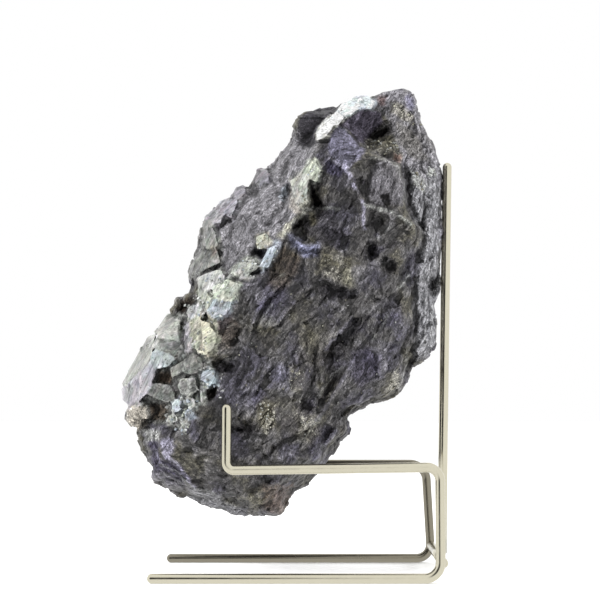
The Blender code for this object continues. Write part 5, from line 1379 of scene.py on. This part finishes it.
PASTEL = (Tint.SILVER, Tint.GREEN_WHITE, Tint.BLUE_WHITE, Tint.WHITE, Tint.STEEL)
WARM = (Tint.CREAM, Tint.SILVER, Tint.KHAKI, Tint.STEEL)
DRUSES = (
    Druse((
        (197, 278), (212, 271), (226, 268), (241, 283), (236, 300), (226, 316), (213, 318), (206, 300)), 50,
        (0.3, 0.9), PASTEL),
    Druse(((186, 303), (200, 292), (206, 304), (198, 320), (188, 321)), 20, (0.4, 1.1), PASTEL),
    Druse(((190, 316), (204, 312), (214, 322), (216, 340), (206, 352), (194, 350)), 16, (0.4, 1.0), WARM),
    Druse((
        (168, 404), (182, 397), (200, 396), (203, 404), (190, 414), (188, 434), (178, 434), (167, 422)), 50,
        (0.4, 1.4), PASTEL),
    Druse(((200, 368), (215, 366), (220, 380), (214, 388), (202, 388)), 14, (0.4, 1.0), PASTEL),
    Druse((
        (316, 134), (326, 122), (337, 112), (344, 101), (354, 96), (368, 96), (376, 103), (368, 109),
        (352, 114), (340, 123), (326, 134)), 12, (0.3, 0.8),
        (Tint.WHITE, Tint.ICE, Tint.SILVER, Tint.WHITE)),
    Druse(((305, 160), (314, 158), (320, 168), (319, 182), (309, 181)), 12, (0.3, 0.8), PASTEL),
    Druse(((289, 180), (303, 173), (309, 186), (308, 203), (300, 210), (292, 205)), 14, (0.3, 0.8), WARM),
    Druse((
        (256, 237), (267, 234), (268, 247), (258, 248)), 12, (0.4, 1.1),
        (Tint.WHITE, Tint.CREAM, Tint.SILVER)),
    Druse(((240, 262), (256, 258), (262, 268), (250, 277), (240, 275)), 14, (0.3, 0.9), PASTEL),
    Druse(((266, 262), (276, 246), (283, 234), (288, 232), (278, 250), (270, 266)), 10, (0.3, 0.8), PASTEL),
    Druse(((258, 404), (272, 402), (274, 426), (260, 428)), 16, (0.3, 0.7), WARM),
    Druse(((290, 368), (304, 372), (300, 392), (288, 388)), 8, (0.3, 0.6), WARM),
    Druse(((298, 416), (316, 420), (316, 442), (304, 440)), 6, (0.3, 0.6), WARM),
    Druse(((366, 138), (380, 141), (394, 136), (404, 154), (386, 156), (370, 148)), 40, (0.3, 0.9), WARM),
    Druse(((391, 102), (414, 112), (424, 128), (412, 130), (396, 118)), 12, (0.3, 0.7), WARM),
    Druse(((217, 370), (223, 370), (224, 398), (214, 400)), 8, (0.3, 0.7), (Tint.WHITE, Tint.SILVER)),
    Druse(((426, 168), (436, 167), (437, 175), (428, 176)), 10, (0.5, 1.3), (Tint.WHITE, Tint.SILVER)),
    Druse((
        (410, 170), (420, 172), (427, 190), (416, 190)), 16, (0.4, 1.2),
        (Tint.WHITE, Tint.SILVER, Tint.KHAKI)),
    Druse((
        (230, 290), (300, 290), (410, 300), (400, 350), (330, 470), (240, 480), (225, 400)), 50, (0.25, 0.5),
        WARM),
)


@dataclass
class SmallCrystals:
    """Crystals of a millimetre and less, grown on the pale areas, as one piece."""

    seed: int = 83
    # Share of its width by which a crystal sits in the ore
    sunk: float = 0.35
    # How flat it is, how unevenly its corners are cut, and how its faces' brightness varies
    flatness: float = 0.7
    corner_cut: Spot = (0.6, 1.0)
    brightness: Spot = (0.75, 1.15)
    brightest: float = 0.95
    # Each crystal starts its pattern elsewhere, up to so many millimetres away
    shift_mm: float = 60.0
    tints: list[Array] = field(default_factory=list)
    lies: list[Array] = field(default_factory=list)

    def build(self, ore: bpy.types.Object, finish: bpy.types.Material) -> bpy.types.Object:
        """Scatter the crystals over the ore.

        Args:
            ore: What they grow on.
            finish: What they are made of.

        Returns:
            The piece.
        """
        dice = np.random.default_rng(self.seed)
        eye = Vector(VIEW.eye)
        whole = bmesh.new()
        for druse in DRUSES:
            corners = np.array(druse.outline, float)
            # Four times as many spots as are needed, because some fall outside the outline
            spots = dice.uniform(corners.min(0), corners.max(0), (druse.count * 4, 2))
            spots = spots[shape_distance(spots, druse.outline) < 0][:druse.count]
            for across, down in spots:
                found, place, normal, _ = ore.ray_cast(eye, VIEW.place((across, down, 0)) - eye)
                if not found:
                    continue
                size = dice.uniform(*druse.size_mm) * MM
                tint = np.array(linear(druse.tints[dice.integers(len(druse.tints))].value))
                self.add_one(whole, place + normal * size * (0.5 - self.sunk), size, tint, dice)
        mesh = to_mesh("small_crystals", whole)
        colours = np.column_stack([np.clip(self.tints, 0, self.brightest), np.ones(len(self.tints))])
        store(mesh, "tint", "FLOAT_COLOR", "FACE", colours)
        store(mesh, "lie", "FLOAT_VECTOR", "POINT", np.array(self.lies))
        mesh.materials.append(finish)
        LOG.info("small crystals: %d faces", len(mesh.polygons))
        return new_object("small_crystals", mesh)

    def add_one(
            self, whole: bmesh.types.BMesh, middle: Vector, size: float, tint: Array,
            dice: np.random.Generator) -> None:
        """Add one crystal: a cube with its corners cut by chance.

        Args:
            whole: Where it is added.
            middle: Its middle.
            size: Its width in metres.
            tint: Its linear colour.
            dice: Source of chance.
        """
        turn = Vector(dice.normal(size=3)).normalized()
        back = turn.orthogonal().normalized()
        side = turn.cross(back)
        points = []
        for first, second, third in product((-0.5, 0.5), repeat=3):
            shrink = dice.uniform(*self.corner_cut)
            offset = turn * first * self.flatness + back * second + side * third
            points.append(whole.verts.new(middle + offset * size * shrink))
        made = bmesh.ops.convex_hull(whole, input=points)
        for face in made["geom"]:
            if isinstance(face, bmesh.types.BMFace):
                self.tints.append(tint * dice.uniform(*self.brightness))
        shift = dice.uniform(0, self.shift_mm, 3)
        self.lies.extend(np.array(point.co) / MM + shift for point in points)


@dataclass(frozen=True)
class Graph:
    """A material's or world's node tree while it is wired up."""

    tree: bpy.types.NodeTree

    def add(
            self, kind: str, inputs: Sequence[Any] | dict[str | int, Any] = (),
            **settings: Any) -> bpy.types.Node:
        """Add a node with its settings and links.

        Args:
            kind: Type name of the node, without its leading "ShaderNode".
            inputs: What feeds its sockets, in their order, or by name or number. Each is a value, an output,
                or a node whose first output is meant.
            settings: The node's own settings.

        Returns:
            The node.
        """
        node = self.tree.nodes.new("ShaderNode" + kind)
        for name, value in settings.items():
            setattr(node, name, value)
        for name, value in inputs.items() if isinstance(inputs, dict) else enumerate(inputs):
            if isinstance(value, bpy.types.Node):
                value = value.outputs[0]
            if isinstance(value, bpy.types.NodeSocket):
                self.tree.links.new(value, node.inputs[name])
            else:
                node.inputs[name].default_value = value
        return node


def blank_material(name: str) -> tuple[bpy.types.Material, Graph]:
    """Make a material with an empty node tree.

    Args:
        name: Name of the material.

    Returns:
        The material and its graph.
    """
    material = bpy.data.materials.new(name)
    material.use_nodes = True
    material.node_tree.nodes.clear()
    return material, Graph(material.node_tree)


@dataclass(frozen=True)
class BrokenSkutterudite:
    """Massive skutterudite, a grey cobalt nickel arsenide, broken by hand and slightly tarnished.

    The eye gets a dark metallic grey with a violet cast: each fibre and flat of the break throws the light
    its own way, so pale glints sit beside nearly black ones, and nothing mirrors. In a range, the first two
    numbers are the pattern's values, and the last two are what they become.
    """

    metallic: float = 0.3
    rough: Range = (0.0, 1.0, 0.3, 0.55)
    # Fibres 0.4 mm across and 2 mm long, drawn a little coarser than they are so that they show
    fibres: Corner = (1 / 2.0, 1 / 0.42, 1 / 1.0)
    # Shorter splinters 0.4 mm across that cross them, at so many degrees
    splinters: Corner = (1.3, 0.36, 0.8)
    crossing: float = 62.0
    streaks: Range = (0.42, 0.68, 0.12, 0.99)
    # Flats of the break, 0.5 by 1.3 mm, and how much each is tilted
    flats: Corner = (1 / 1.3, 1 / 0.5, 1 / 0.5)
    gleam: Range = (0.0, 1.0, 0.52, 1.48)
    tilt: float = 0.45
    # Short cracks between splinters of 7 by 1.6 mm, drawn as darker lines of painted shade, which fade where
    # the surface is calm
    cracks: Corner = (1 / 7.0, 1 / 1.6, 1 / 5.0)
    crack_shade: Range = (0.0, 0.7, 0.6, 1.0)
    crack_half: float = 0.07
    grit_mm: float = 0.5
    dust: Range = (0.3, 0.7, 0.58, 1.42)
    # Bright grains, partly pale grains of the ore and partly painted glints, and how bright each is
    speck_mm: float = 0.4
    specks: Range = (0.45, 0.6, 0.0, 1.0)
    speck_gleam: Range = (0.0, 1.0, 0.5, 2.0)
    # Lustre below which soot-black areas lose their metal and their sheen
    metal_lustre: Spot = (0.02, 0.12)
    sheen: Range = (0.02, 0.1, 0.0, 0.5)
    bump: float = 0.1 * MM

    def make(self) -> bpy.types.Material:
        """Wire up the material.

        Returns:
            The material.
        """
        material, graph = blank_material("broken skutterudite")
        lie = graph.add("Attribute", attribute_name="lie").outputs["Vector"]
        tint = graph.add("Attribute", attribute_name="tint").outputs["Color"]
        lustre, calm, speck = (
            graph.add("Attribute", attribute_name=name).outputs["Fac"]
            for name in ("lustre", "calm", "speck"))
        fibre_place = graph.add("VectorMath", (lie, self.fibres), operation="MULTIPLY")
        fibres = graph.add(
            "TexNoise", {"Vector": fibre_place, "Scale": 1.0, "Detail": 5.0, "Roughness": 0.75})
        turn = (0, 0, math.radians(self.crossing))
        cross_place = graph.add(
            "Mapping", {"Vector": lie, "Rotation": turn, "Scale": self.splinters}, vector_type="TEXTURE")
        crossing = graph.add(
            "TexNoise", {"Vector": cross_place, "Scale": 1.0, "Detail": 4.0, "Roughness": 0.75})
        ridges = graph.add("Math", (fibres, crossing), operation="MAXIMUM")
        streak = graph.add("MapRange", (ridges, *self.streaks))

        flat_place = graph.add("VectorMath", (lie, self.flats), operation="MULTIPLY")
        flats = graph.add("TexVoronoi", {"Vector": flat_place, "Scale": 1.0}).outputs["Color"]
        flat_parts = graph.add("SeparateColor", (flats,))
        gleam = graph.add("MapRange", (flat_parts, *self.gleam))
        crack_place = graph.add("VectorMath", (lie, self.cracks), operation="MULTIPLY")
        cracks = graph.add("TexVoronoi", {"Vector": crack_place, "Scale": 1.0}, feature="DISTANCE_TO_EDGE")
        depth = graph.add("MapRange", (calm, *self.crack_shade))
        crack = graph.add("MapRange", (cracks, 0.0, self.crack_half, depth, 1.0))
        grit = graph.add("TexNoise", {"Vector": lie, "Scale": 1 / self.grit_mm, "Detail": 2.0})
        shade = streak
        for part in (graph.add("MapRange", (grit, *self.dust)), gleam, crack):
            shade = graph.add("Math", (shade, part), operation="MULTIPLY")
        plain = graph.add("VectorMath", {0: tint, "Scale": shade}, operation="SCALE")

        grains = graph.add("TexVoronoi", {"Vector": lie, "Scale": 1 / self.speck_mm}).outputs["Color"]
        grain_parts = graph.add("SeparateColor", (grains,))
        chance = graph.add("Math", (grain_parts, speck), operation="MULTIPLY")
        shown = graph.add("MapRange", (chance, *self.specks))
        bright = graph.add("MapRange", (grain_parts.outputs[1], *self.speck_gleam))
        grain = graph.add("VectorMath", {0: linear(Tint.GRAIN.value), "Scale": bright}, operation="SCALE")
        colour = graph.add("Mix", {"Factor": shown, 6: plain, 7: grain}, data_type="RGBA").outputs[2]

        centred = graph.add("VectorMath", (flats, (0.5, 0.5, 0.5)), operation="SUBTRACT")
        tilt = graph.add("VectorMath", {0: centred, "Scale": self.tilt}, operation="SCALE")
        grooves = graph.add("Bump", {"Height": ridges, "Distance": self.bump, "Strength": 1.0})
        tilted = graph.add("VectorMath", (grooves, tilt), operation="ADD")
        normal = graph.add("VectorMath", (tilted,), operation="NORMALIZE")
        metal = graph.add("MapRange", (lustre, *self.metal_lustre, 0.0, self.metallic))
        sheen = graph.add("MapRange", (lustre, *self.sheen))
        rough = graph.add("MapRange", (flat_parts.outputs[1], *self.rough))
        shader = graph.add("BsdfPrincipled", {
            "Base Color": colour, "Metallic": metal, "Roughness": rough, "Specular IOR Level": sheen,
            "Normal": normal})
        graph.add("OutputMaterial", (shader,))
        return material


@dataclass(frozen=True)
class PaleArsenide:
    """Natural crystal faces of tin-white skutterudite, grown smooth and dulled by a thin pale film.

    The eye gets a soft silver sheen, tinted greenish, bluish or cream, with fine growth lines along each
    face.
    """

    metallic: Range = (0.0, 1.0, 0.1, 0.55)
    rough: Range = (0.3, 0.7, 0.42, 0.24)
    # Growth lines 0.5 mm apart, drawn coarser than the real hairlines so that they show
    lines: Corner = (1 / 7.0, 1 / 0.5, 1 / 0.5)
    streaks: Range = (0.32, 0.68, 0.38, 0.94)
    blotches_mm: float = 1.6
    clouds: Range = (0.3, 0.68, 0.74, 1.12)
    # Little pits 0.3 mm across, one to every 1.3 mm, darkened as painted shade, which fade where the surface
    # is calm
    pocks_mm: float = 1.3
    pock_rim: Spot = (0.1, 0.24)
    pock_shade: Range = (0.0, 0.7, 0.2, 0.85)
    line_bump: float = 0.05 * MM
    blotch_bump: float = 0.07 * MM

    def make(self) -> bpy.types.Material:
        """Wire up the material.

        Returns:
            The material.
        """
        material, graph = blank_material("pale arsenide crystal")
        lie = graph.add("Attribute", attribute_name="lie").outputs["Vector"]
        tint = graph.add("Attribute", attribute_name="tint").outputs["Color"]
        lustre, calm = (
            graph.add("Attribute", attribute_name=name).outputs["Fac"] for name in ("lustre", "calm"))
        line_place = graph.add("VectorMath", (lie, self.lines), operation="MULTIPLY")
        lines = graph.add("TexNoise", {"Vector": line_place, "Scale": 1.0, "Detail": 2.0, "Roughness": 0.55})
        blotch = graph.add(
            "TexNoise", {"Vector": lie, "Scale": 1 / self.blotches_mm, "Detail": 4.0, "Roughness": 0.6})
        pocks = graph.add("TexVoronoi", {"Vector": lie, "Scale": 1 / self.pocks_mm})
        depth = graph.add("MapRange", (calm, *self.pock_shade))
        shade = graph.add("MapRange", (pocks, *self.pock_rim, depth, 1.0))
        for pattern, span in ((blotch, self.clouds), (lines, self.streaks)):
            shade = graph.add("Math", (graph.add("MapRange", (pattern, *span)), shade), operation="MULTIPLY")
        colour = graph.add("VectorMath", {0: tint, "Scale": shade}, operation="SCALE")
        normal = graph.add("Bump", {"Height": lines, "Distance": self.line_bump, "Strength": 0.8})
        normal = graph.add(
            "Bump", {"Height": blotch, "Distance": self.blotch_bump, "Strength": 0.8, "Normal": normal})
        shader = graph.add("BsdfPrincipled", {
            "Base Color": colour, "Metallic": graph.add("MapRange", (lustre, *self.metallic)),
            "Roughness": graph.add("MapRange", (blotch, *self.rough)), "Normal": normal})
        graph.add("OutputMaterial", (shader,))
        return material


@dataclass(frozen=True)
class NickelWire:
    """Steel wire, cold drawn and nickel plated.

    The eye gets a bright mirror stretched along the wire, warm where it sees the room and dark where it sees
    the viewer's side, with faint drawing lines lengthwise.
    """

    colour: str = "#d0cbb7"
    roughness: float = 0.17
    anisotropy: float = 0.35
    # Drawing lines 0.12 mm apart and 14 mm long, coarser than real so that they show
    lines: Corner = (1 / 14.0, 1 / 0.12, 1.0)
    # Smudges some 3 mm across, the noise between which they set in, and how they change the roughness
    smudges: float = 0.35
    smudged: Spot = (0.3, 0.7)
    wear: Spot = (-0.05, 0.08)
    bump: float = 0.006 * MM

    def make(self) -> bpy.types.Material:
        """Wire up the material.

        Returns:
            The material.
        """
        material, graph = blank_material("nickel plated wire")
        run = graph.add("UVMap", uv_map="run")
        place = graph.add("VectorMath", (run, self.lines), operation="MULTIPLY")
        lines = graph.add("TexNoise", {"Vector": place, "Scale": 1.0, "Detail": 2.0})
        smudges = graph.add("TexNoise", {"Vector": run, "Scale": self.smudges, "Detail": 3.0})
        least, most = (self.roughness + change for change in self.wear)
        rough = graph.add("MapRange", (smudges, *self.smudged, least, most))
        bump = graph.add("Bump", {"Height": lines, "Distance": self.bump, "Strength": 0.6})
        tangent = graph.add("Tangent", direction_type="UV_MAP", uv_map="run")
        shader = graph.add("BsdfPrincipled", {
            "Base Color": (*linear(self.colour), 1), "Metallic": 1.0, "Roughness": rough,
            "Anisotropic": self.anisotropy, "Tangent": tangent, "Normal": bump})
        graph.add("OutputMaterial", (shader,))
        return material


# The far wire's plating is painted darker than the near one's, as painted shade
NICKEL_PAINTED_SHADE = NickelWire("#8b8678", 0.2)


@dataclass(frozen=True)
class WhiteBoard:
    """Board painted matt white.

    The eye gets a plain pale ground without gloss.
    """

    white: float = 0.94
    roughness: float = 0.8

    def make(self) -> bpy.types.Material:
        """Wire up the material.

        Returns:
            The material.
        """
        material, graph = blank_material("white board")
        shader = graph.add("BsdfPrincipled", {
            "Base Color": (self.white, self.white, self.white, 1), "Roughness": self.roughness})
        graph.add("OutputMaterial", (shader,))
        return material


@dataclass
class WireStand:
    """The stand: two bent cradle wires, the back post and the cross bar that joins them.

    A spot is X and Z of a place in an upright plane.
    """

    # Half the thickness that the photo shows, a little more than the solids' 1.5 mm
    radius: float = 1.58 * MM
    sides: int = 28
    # Where the rings of a rounded end lie, in degrees from its tip
    dome_angles: tuple[int, ...] = (4, 14, 26, 40, 55, 72)
    # A bend is drawn in steps of this angle, and in no fewer than so many
    bend_step: float = math.radians(5)
    least_steps: int = 6
    spacing: float = 55 * MM
    arm_z: float = 35.2 * MM
    hook_top: float = 56.2 * MM
    hook_x: float = -19.16 * MM
    # How far the near arm climbs towards its leg
    arm_rise: float = 0.95 * MM
    # X at which each leg leaves its arm, and at which it meets the floor
    near_leg: Spot = (48.45 * MM, 48.25 * MM)
    far_leg: Spot = (49.74 * MM, 51.34 * MM)
    foot_reach: float = -43.86 * MM
    # Radius of each wire's bends at the hook, behind and at the floor
    near_bends: Corner = (2.5 * MM, 4.2 * MM, 5.0 * MM)
    far_bends: Corner = (2.5 * MM, 6.0 * MM, 5.0 * MM)
    bar_z: float = 6.2 * MM
    # X of the bar's near and far end
    bar_x: Spot = (49.2 * MM, 51.3 * MM)
    bar_half: float = 26.5 * MM
    post_foot: Spot = (52.1 * MM, 6.4 * MM)
    post_elbow: Spot = (52.84 * MM, 42.6 * MM)
    post_top: Spot = (55.5 * MM, 140.3 * MM)
    post_bend: float = 40 * MM

    def centreline(self, corners: Sequence[Spot], bends: Sequence[float], y: float) -> list[Vector]:
        """Smooth run through corners in an upright plane.

        Args:
            corners: X and Z of each corner.
            bends: Bend radius at each inner corner.
            y: Where the plane is.

        Returns:
            Points along the run.
        """
        spots = [Vector((x, y, z)) for x, z in corners]
        run = [spots[0]]
        for before, corner, after, bend in zip(spots, spots[1:], spots[2:], bends):
            back, onward = (before - corner).normalized(), (after - corner).normalized()
            opening = back.angle(onward)
            reach = bend / math.tan(opening / 2)
            middle = corner + (back + onward).normalized() * (bend / math.sin(opening / 2))
            start, stop = corner + back * reach - middle, corner + onward * reach - middle
            sweep = start.angle(stop)
            steps = max(self.least_steps, round(sweep / self.bend_step))
            for step in range(steps + 1):
                part = step / steps
                mixed = start * math.sin((1 - part) * sweep) + stop * math.sin(part * sweep)
                run.append(middle + mixed / math.sin(sweep))
        return run + [spots[-1]]

    def dome(self, end: Ring, inward: int) -> list[Ring]:
        """Round a wire's end over.

        Args:
            end: The end's ring.
            inward: 1 where the wire runs on along the ring's direction, -1 where it comes from there.

        Returns:
            Rings from the tip to the full thickness.
        """
        spot, along, _ = end
        reach = along * (self.radius * inward)
        rings = []
        for angle in map(math.radians, self.dome_angles):
            rings.append((spot + reach * (1 - math.cos(angle)), along, math.sin(angle)))
        return rings + [(spot + reach, along, 1.0)]

    def tube(self, name: str, run: Sequence[Vector], domed: tuple[bool, bool]) -> bpy.types.Object:
        """Round wire along a run.

        Args:
            name: Name of the piece.
            run: Points along its middle.
            domed: Whether the first and the last end are rounded over.

        Returns:
            The piece, with a run map in millimetres.
        """
        rings = []
        side = Vector((0, 1, 0)) if abs(run[0].y - run[-1].y) < MM else Vector((1, 0, 0))
        for index, spot in enumerate(run):
            before, after = run[max(index - 1, 0)], run[min(index + 1, len(run) - 1)]
            into = (spot - before).normalized() + (after - spot).normalized()
            rings.append((spot, into.normalized(), 1.0))
        if domed[0]:
            rings = self.dome(rings[0], 1) + rings[1:]
        if domed[1]:
            rings = rings[:-1] + self.dome(rings[-1], -1)[::-1]
        shape = bmesh.new()
        loops, reach = [], [0.0]
        turns = [2 * math.pi * step / self.sides for step in range(self.sides)]
        for index, (spot, along, swell) in enumerate(rings):
            normal = along.cross(side).normalized()
            loops.append([
                shape.verts.new(
                    spot + (normal * math.cos(turn) + side * math.sin(turn)) * self.radius * swell)
                for turn in turns])
            if index:
                reach.append(reach[-1] + (spot - rings[index - 1][0]).length)
        layer = shape.loops.layers.uv.new("run")
        girth = 2 * math.pi * self.radius / MM
        for index, (low, high) in enumerate(zip(loops, loops[1:])):
            for step in range(self.sides):
                after = (step + 1) % self.sides
                face = shape.faces.new((low[step], low[after], high[after], high[step]))
                rounds = (step, step + 1, step + 1, step)
                for corner, ring, place in zip(face.loops, (index, index, index + 1, index + 1), rounds):
                    corner[layer].uv = (reach[ring] / MM, girth * place / self.sides)
                face.smooth = True
        shape.faces.new(loops[0][::-1])
        shape.faces.new(loops[-1])
        bmesh.ops.recalc_face_normals(shape, faces=shape.faces)
        mesh = to_mesh(name, shape)
        LOG.info("%s: %d faces", name, len(mesh.polygons))
        return new_object(name, mesh)

    def build(self, finish: bpy.types.Material, shaded_finish: bpy.types.Material) -> list[bpy.types.Object]:
        """Make the stand's pieces.

        Args:
            finish: What they are made of.
            shaded_finish: What the far wire is made of: the same plating painted darker, as painted shade.

        Returns:
            The pieces.
        """
        made = []
        for name, y, leg, rise, bends in (
                ("near_cradle", -self.spacing / 2, self.near_leg, self.arm_rise, self.near_bends),
                ("far_cradle", self.spacing / 2, self.far_leg, 0.0, self.far_bends)):
            corners = [
                (self.hook_x, self.hook_top), (self.hook_x, self.arm_z), (leg[0], self.arm_z + rise),
                (leg[1], self.radius), (self.foot_reach, self.radius)]
            piece = self.tube(name, self.centreline(corners, bends, y), (True, True))
            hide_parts(name + "_wire")
            made.append(piece)
        upright = [self.post_foot, self.post_elbow, self.post_top]
        post = self.tube("post", self.centreline(upright, [self.post_bend], 0.0), (False, True))
        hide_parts("back_post")
        ends = [Vector((x, side * self.bar_half, self.bar_z)) for x, side in zip(self.bar_x, (-1, 1))]
        bar = self.tube("bar", ends, (False, False))
        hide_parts("cross_bar")
        made += [post, bar]
        for piece in made:
            # The far wire takes the darker plating, which is painted shade
            piece.data.materials.append(shaded_finish if piece is made[1] else finish)
            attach(piece, "root")
        return made


@dataclass(frozen=True)
class SoftBox:
    """A square soft light: its name, its place and side in metres, and its watts."""

    name: str
    spot: Corner
    size: float
    watts: float


@dataclass
class Studio:
    """Pale floor, soft light and the camera."""

    # Brightness of the room behind the object, around it, and in its one dark opening
    backdrop: float = 1.0
    surround: float = 1.1
    dark_side: float = 0.02
    # The opening's direction, and how far its rim spreads as cosines of the angle
    opening: Corner = (-0.44, -0.88, 0.18)
    opening_rim: Spot = (0.88, 0.96)
    floor_half: float = 40.0
    boxes: tuple[SoftBox, ...] = (
        SoftBox("left soft box", (-0.55, -0.30, 0.65), 0.4, 9.0),
        SoftBox("right soft box", (0.6, -0.1, 0.35), 0.4, 3.0),
    )
    # What the soft boxes are aimed at: the specimen's middle
    aim: Corner = (0, 0, 0.09)
    overhead_strength: float = 0.5
    overhead_spread: float = math.radians(70)

    def surroundings(self) -> None:
        """Wrap a white room around the scene, with one dark opening on the viewer's side.

        Where the camera looks at the room itself, it is plain white.
        """
        world = bpy.data.worlds.new("room")
        bpy.context.scene.world = world
        world.use_nodes = True
        world.node_tree.nodes.clear()
        graph = Graph(world.node_tree)
        towards = graph.add("TexCoord").outputs["Generated"]
        facing = graph.add("VectorMath", (towards, self.opening), operation="DOT_PRODUCT").outputs["Value"]
        dim = graph.add(
            "MapRange", (facing, *self.opening_rim, self.surround, self.dark_side),
            interpolation_type="SMOOTHSTEP")
        seen = graph.add("LightPath").outputs["Is Camera Ray"]
        level = graph.add("Mix", {0: seen, 2: dim, 3: self.backdrop}, data_type="FLOAT")
        light = graph.add("Background", ((1, 1, 1, 1), level))
        graph.add("OutputWorld", (light,))

    def place(self, name: str, data: Any, spot: Corner, turn: Sequence[float]) -> bpy.types.Object:
        """Put a light, the camera or the floor in the scene.

        Args:
            name: Its name.
            data: Its light or camera data.
            spot: Where it stands, in metres.
            turn: Its rotation as angles about X, Y and Z.

        Returns:
            The new object.
        """
        made = new_object(name, data)
        made.location, made.rotation_euler = spot, turn
        return made

    def floor(self) -> None:
        """Lay a white painted board under the stand."""
        shape = bmesh.new()
        bmesh.ops.create_grid(shape, x_segments=1, y_segments=1, size=self.floor_half)
        mesh = to_mesh("floor", shape)
        mesh.materials.append(WhiteBoard().make())
        self.place("floor", mesh, (0, 0, 0), (0, 0, 0)).visible_glossy = False

    def lights(self) -> None:
        """Hang the soft boxes, and one broad soft light straight above."""
        for box in self.boxes:
            data = bpy.data.lights.new(box.name, "AREA")
            data.size, data.energy = box.size, box.watts
            turn = (Vector(self.aim) - Vector(box.spot)).to_track_quat("-Z", "Y").to_euler()
            self.place(box.name, data, box.spot, turn).visible_glossy = False
        data = bpy.data.lights.new("overhead", "SUN")
        data.energy, data.angle = self.overhead_strength, self.overhead_spread
        self.place("overhead", data, (0, 0, 0), (0, 0, 0)).visible_glossy = False

    def camera(self) -> None:
        """Set up the camera at the picture's viewing angle."""
        data = bpy.data.cameras.new("camera")
        data.sensor_width = VIEW.sensor_mm
        data.lens = VIEW.focal * VIEW.sensor_mm / (2 * VIEW.centre)
        data.clip_start = 0.01
        made = self.place("camera", data, VIEW.eye, (math.pi / 2 + VIEW.tilt, 0, 0))
        bpy.context.scene.camera = made

    def build(self) -> None:
        """Set up the whole studio."""
        self.surroundings()
        self.floor()
        self.lights()
        self.camera()
        bpy.context.scene.view_settings.view_transform = "Standard"
        LOG.info("studio ready")


def main() -> None:
    """Build and dress every piece, then note the sizes."""
    logging.basicConfig(level=logging.INFO, format="%(name)s: %(message)s")
    pale = PaleArsenide().make()
    ore = OreBody().build([BrokenSkutterudite().make(), pale])
    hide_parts("specimen")
    small = SmallCrystals().build(ore, pale)
    for piece in (ore, small):
        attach(piece, "root")
    WireStand().build(NickelWire().make(), NICKEL_PAINTED_SHADE.make())
    Studio().build()


if __name__ == "__main__":
    main()
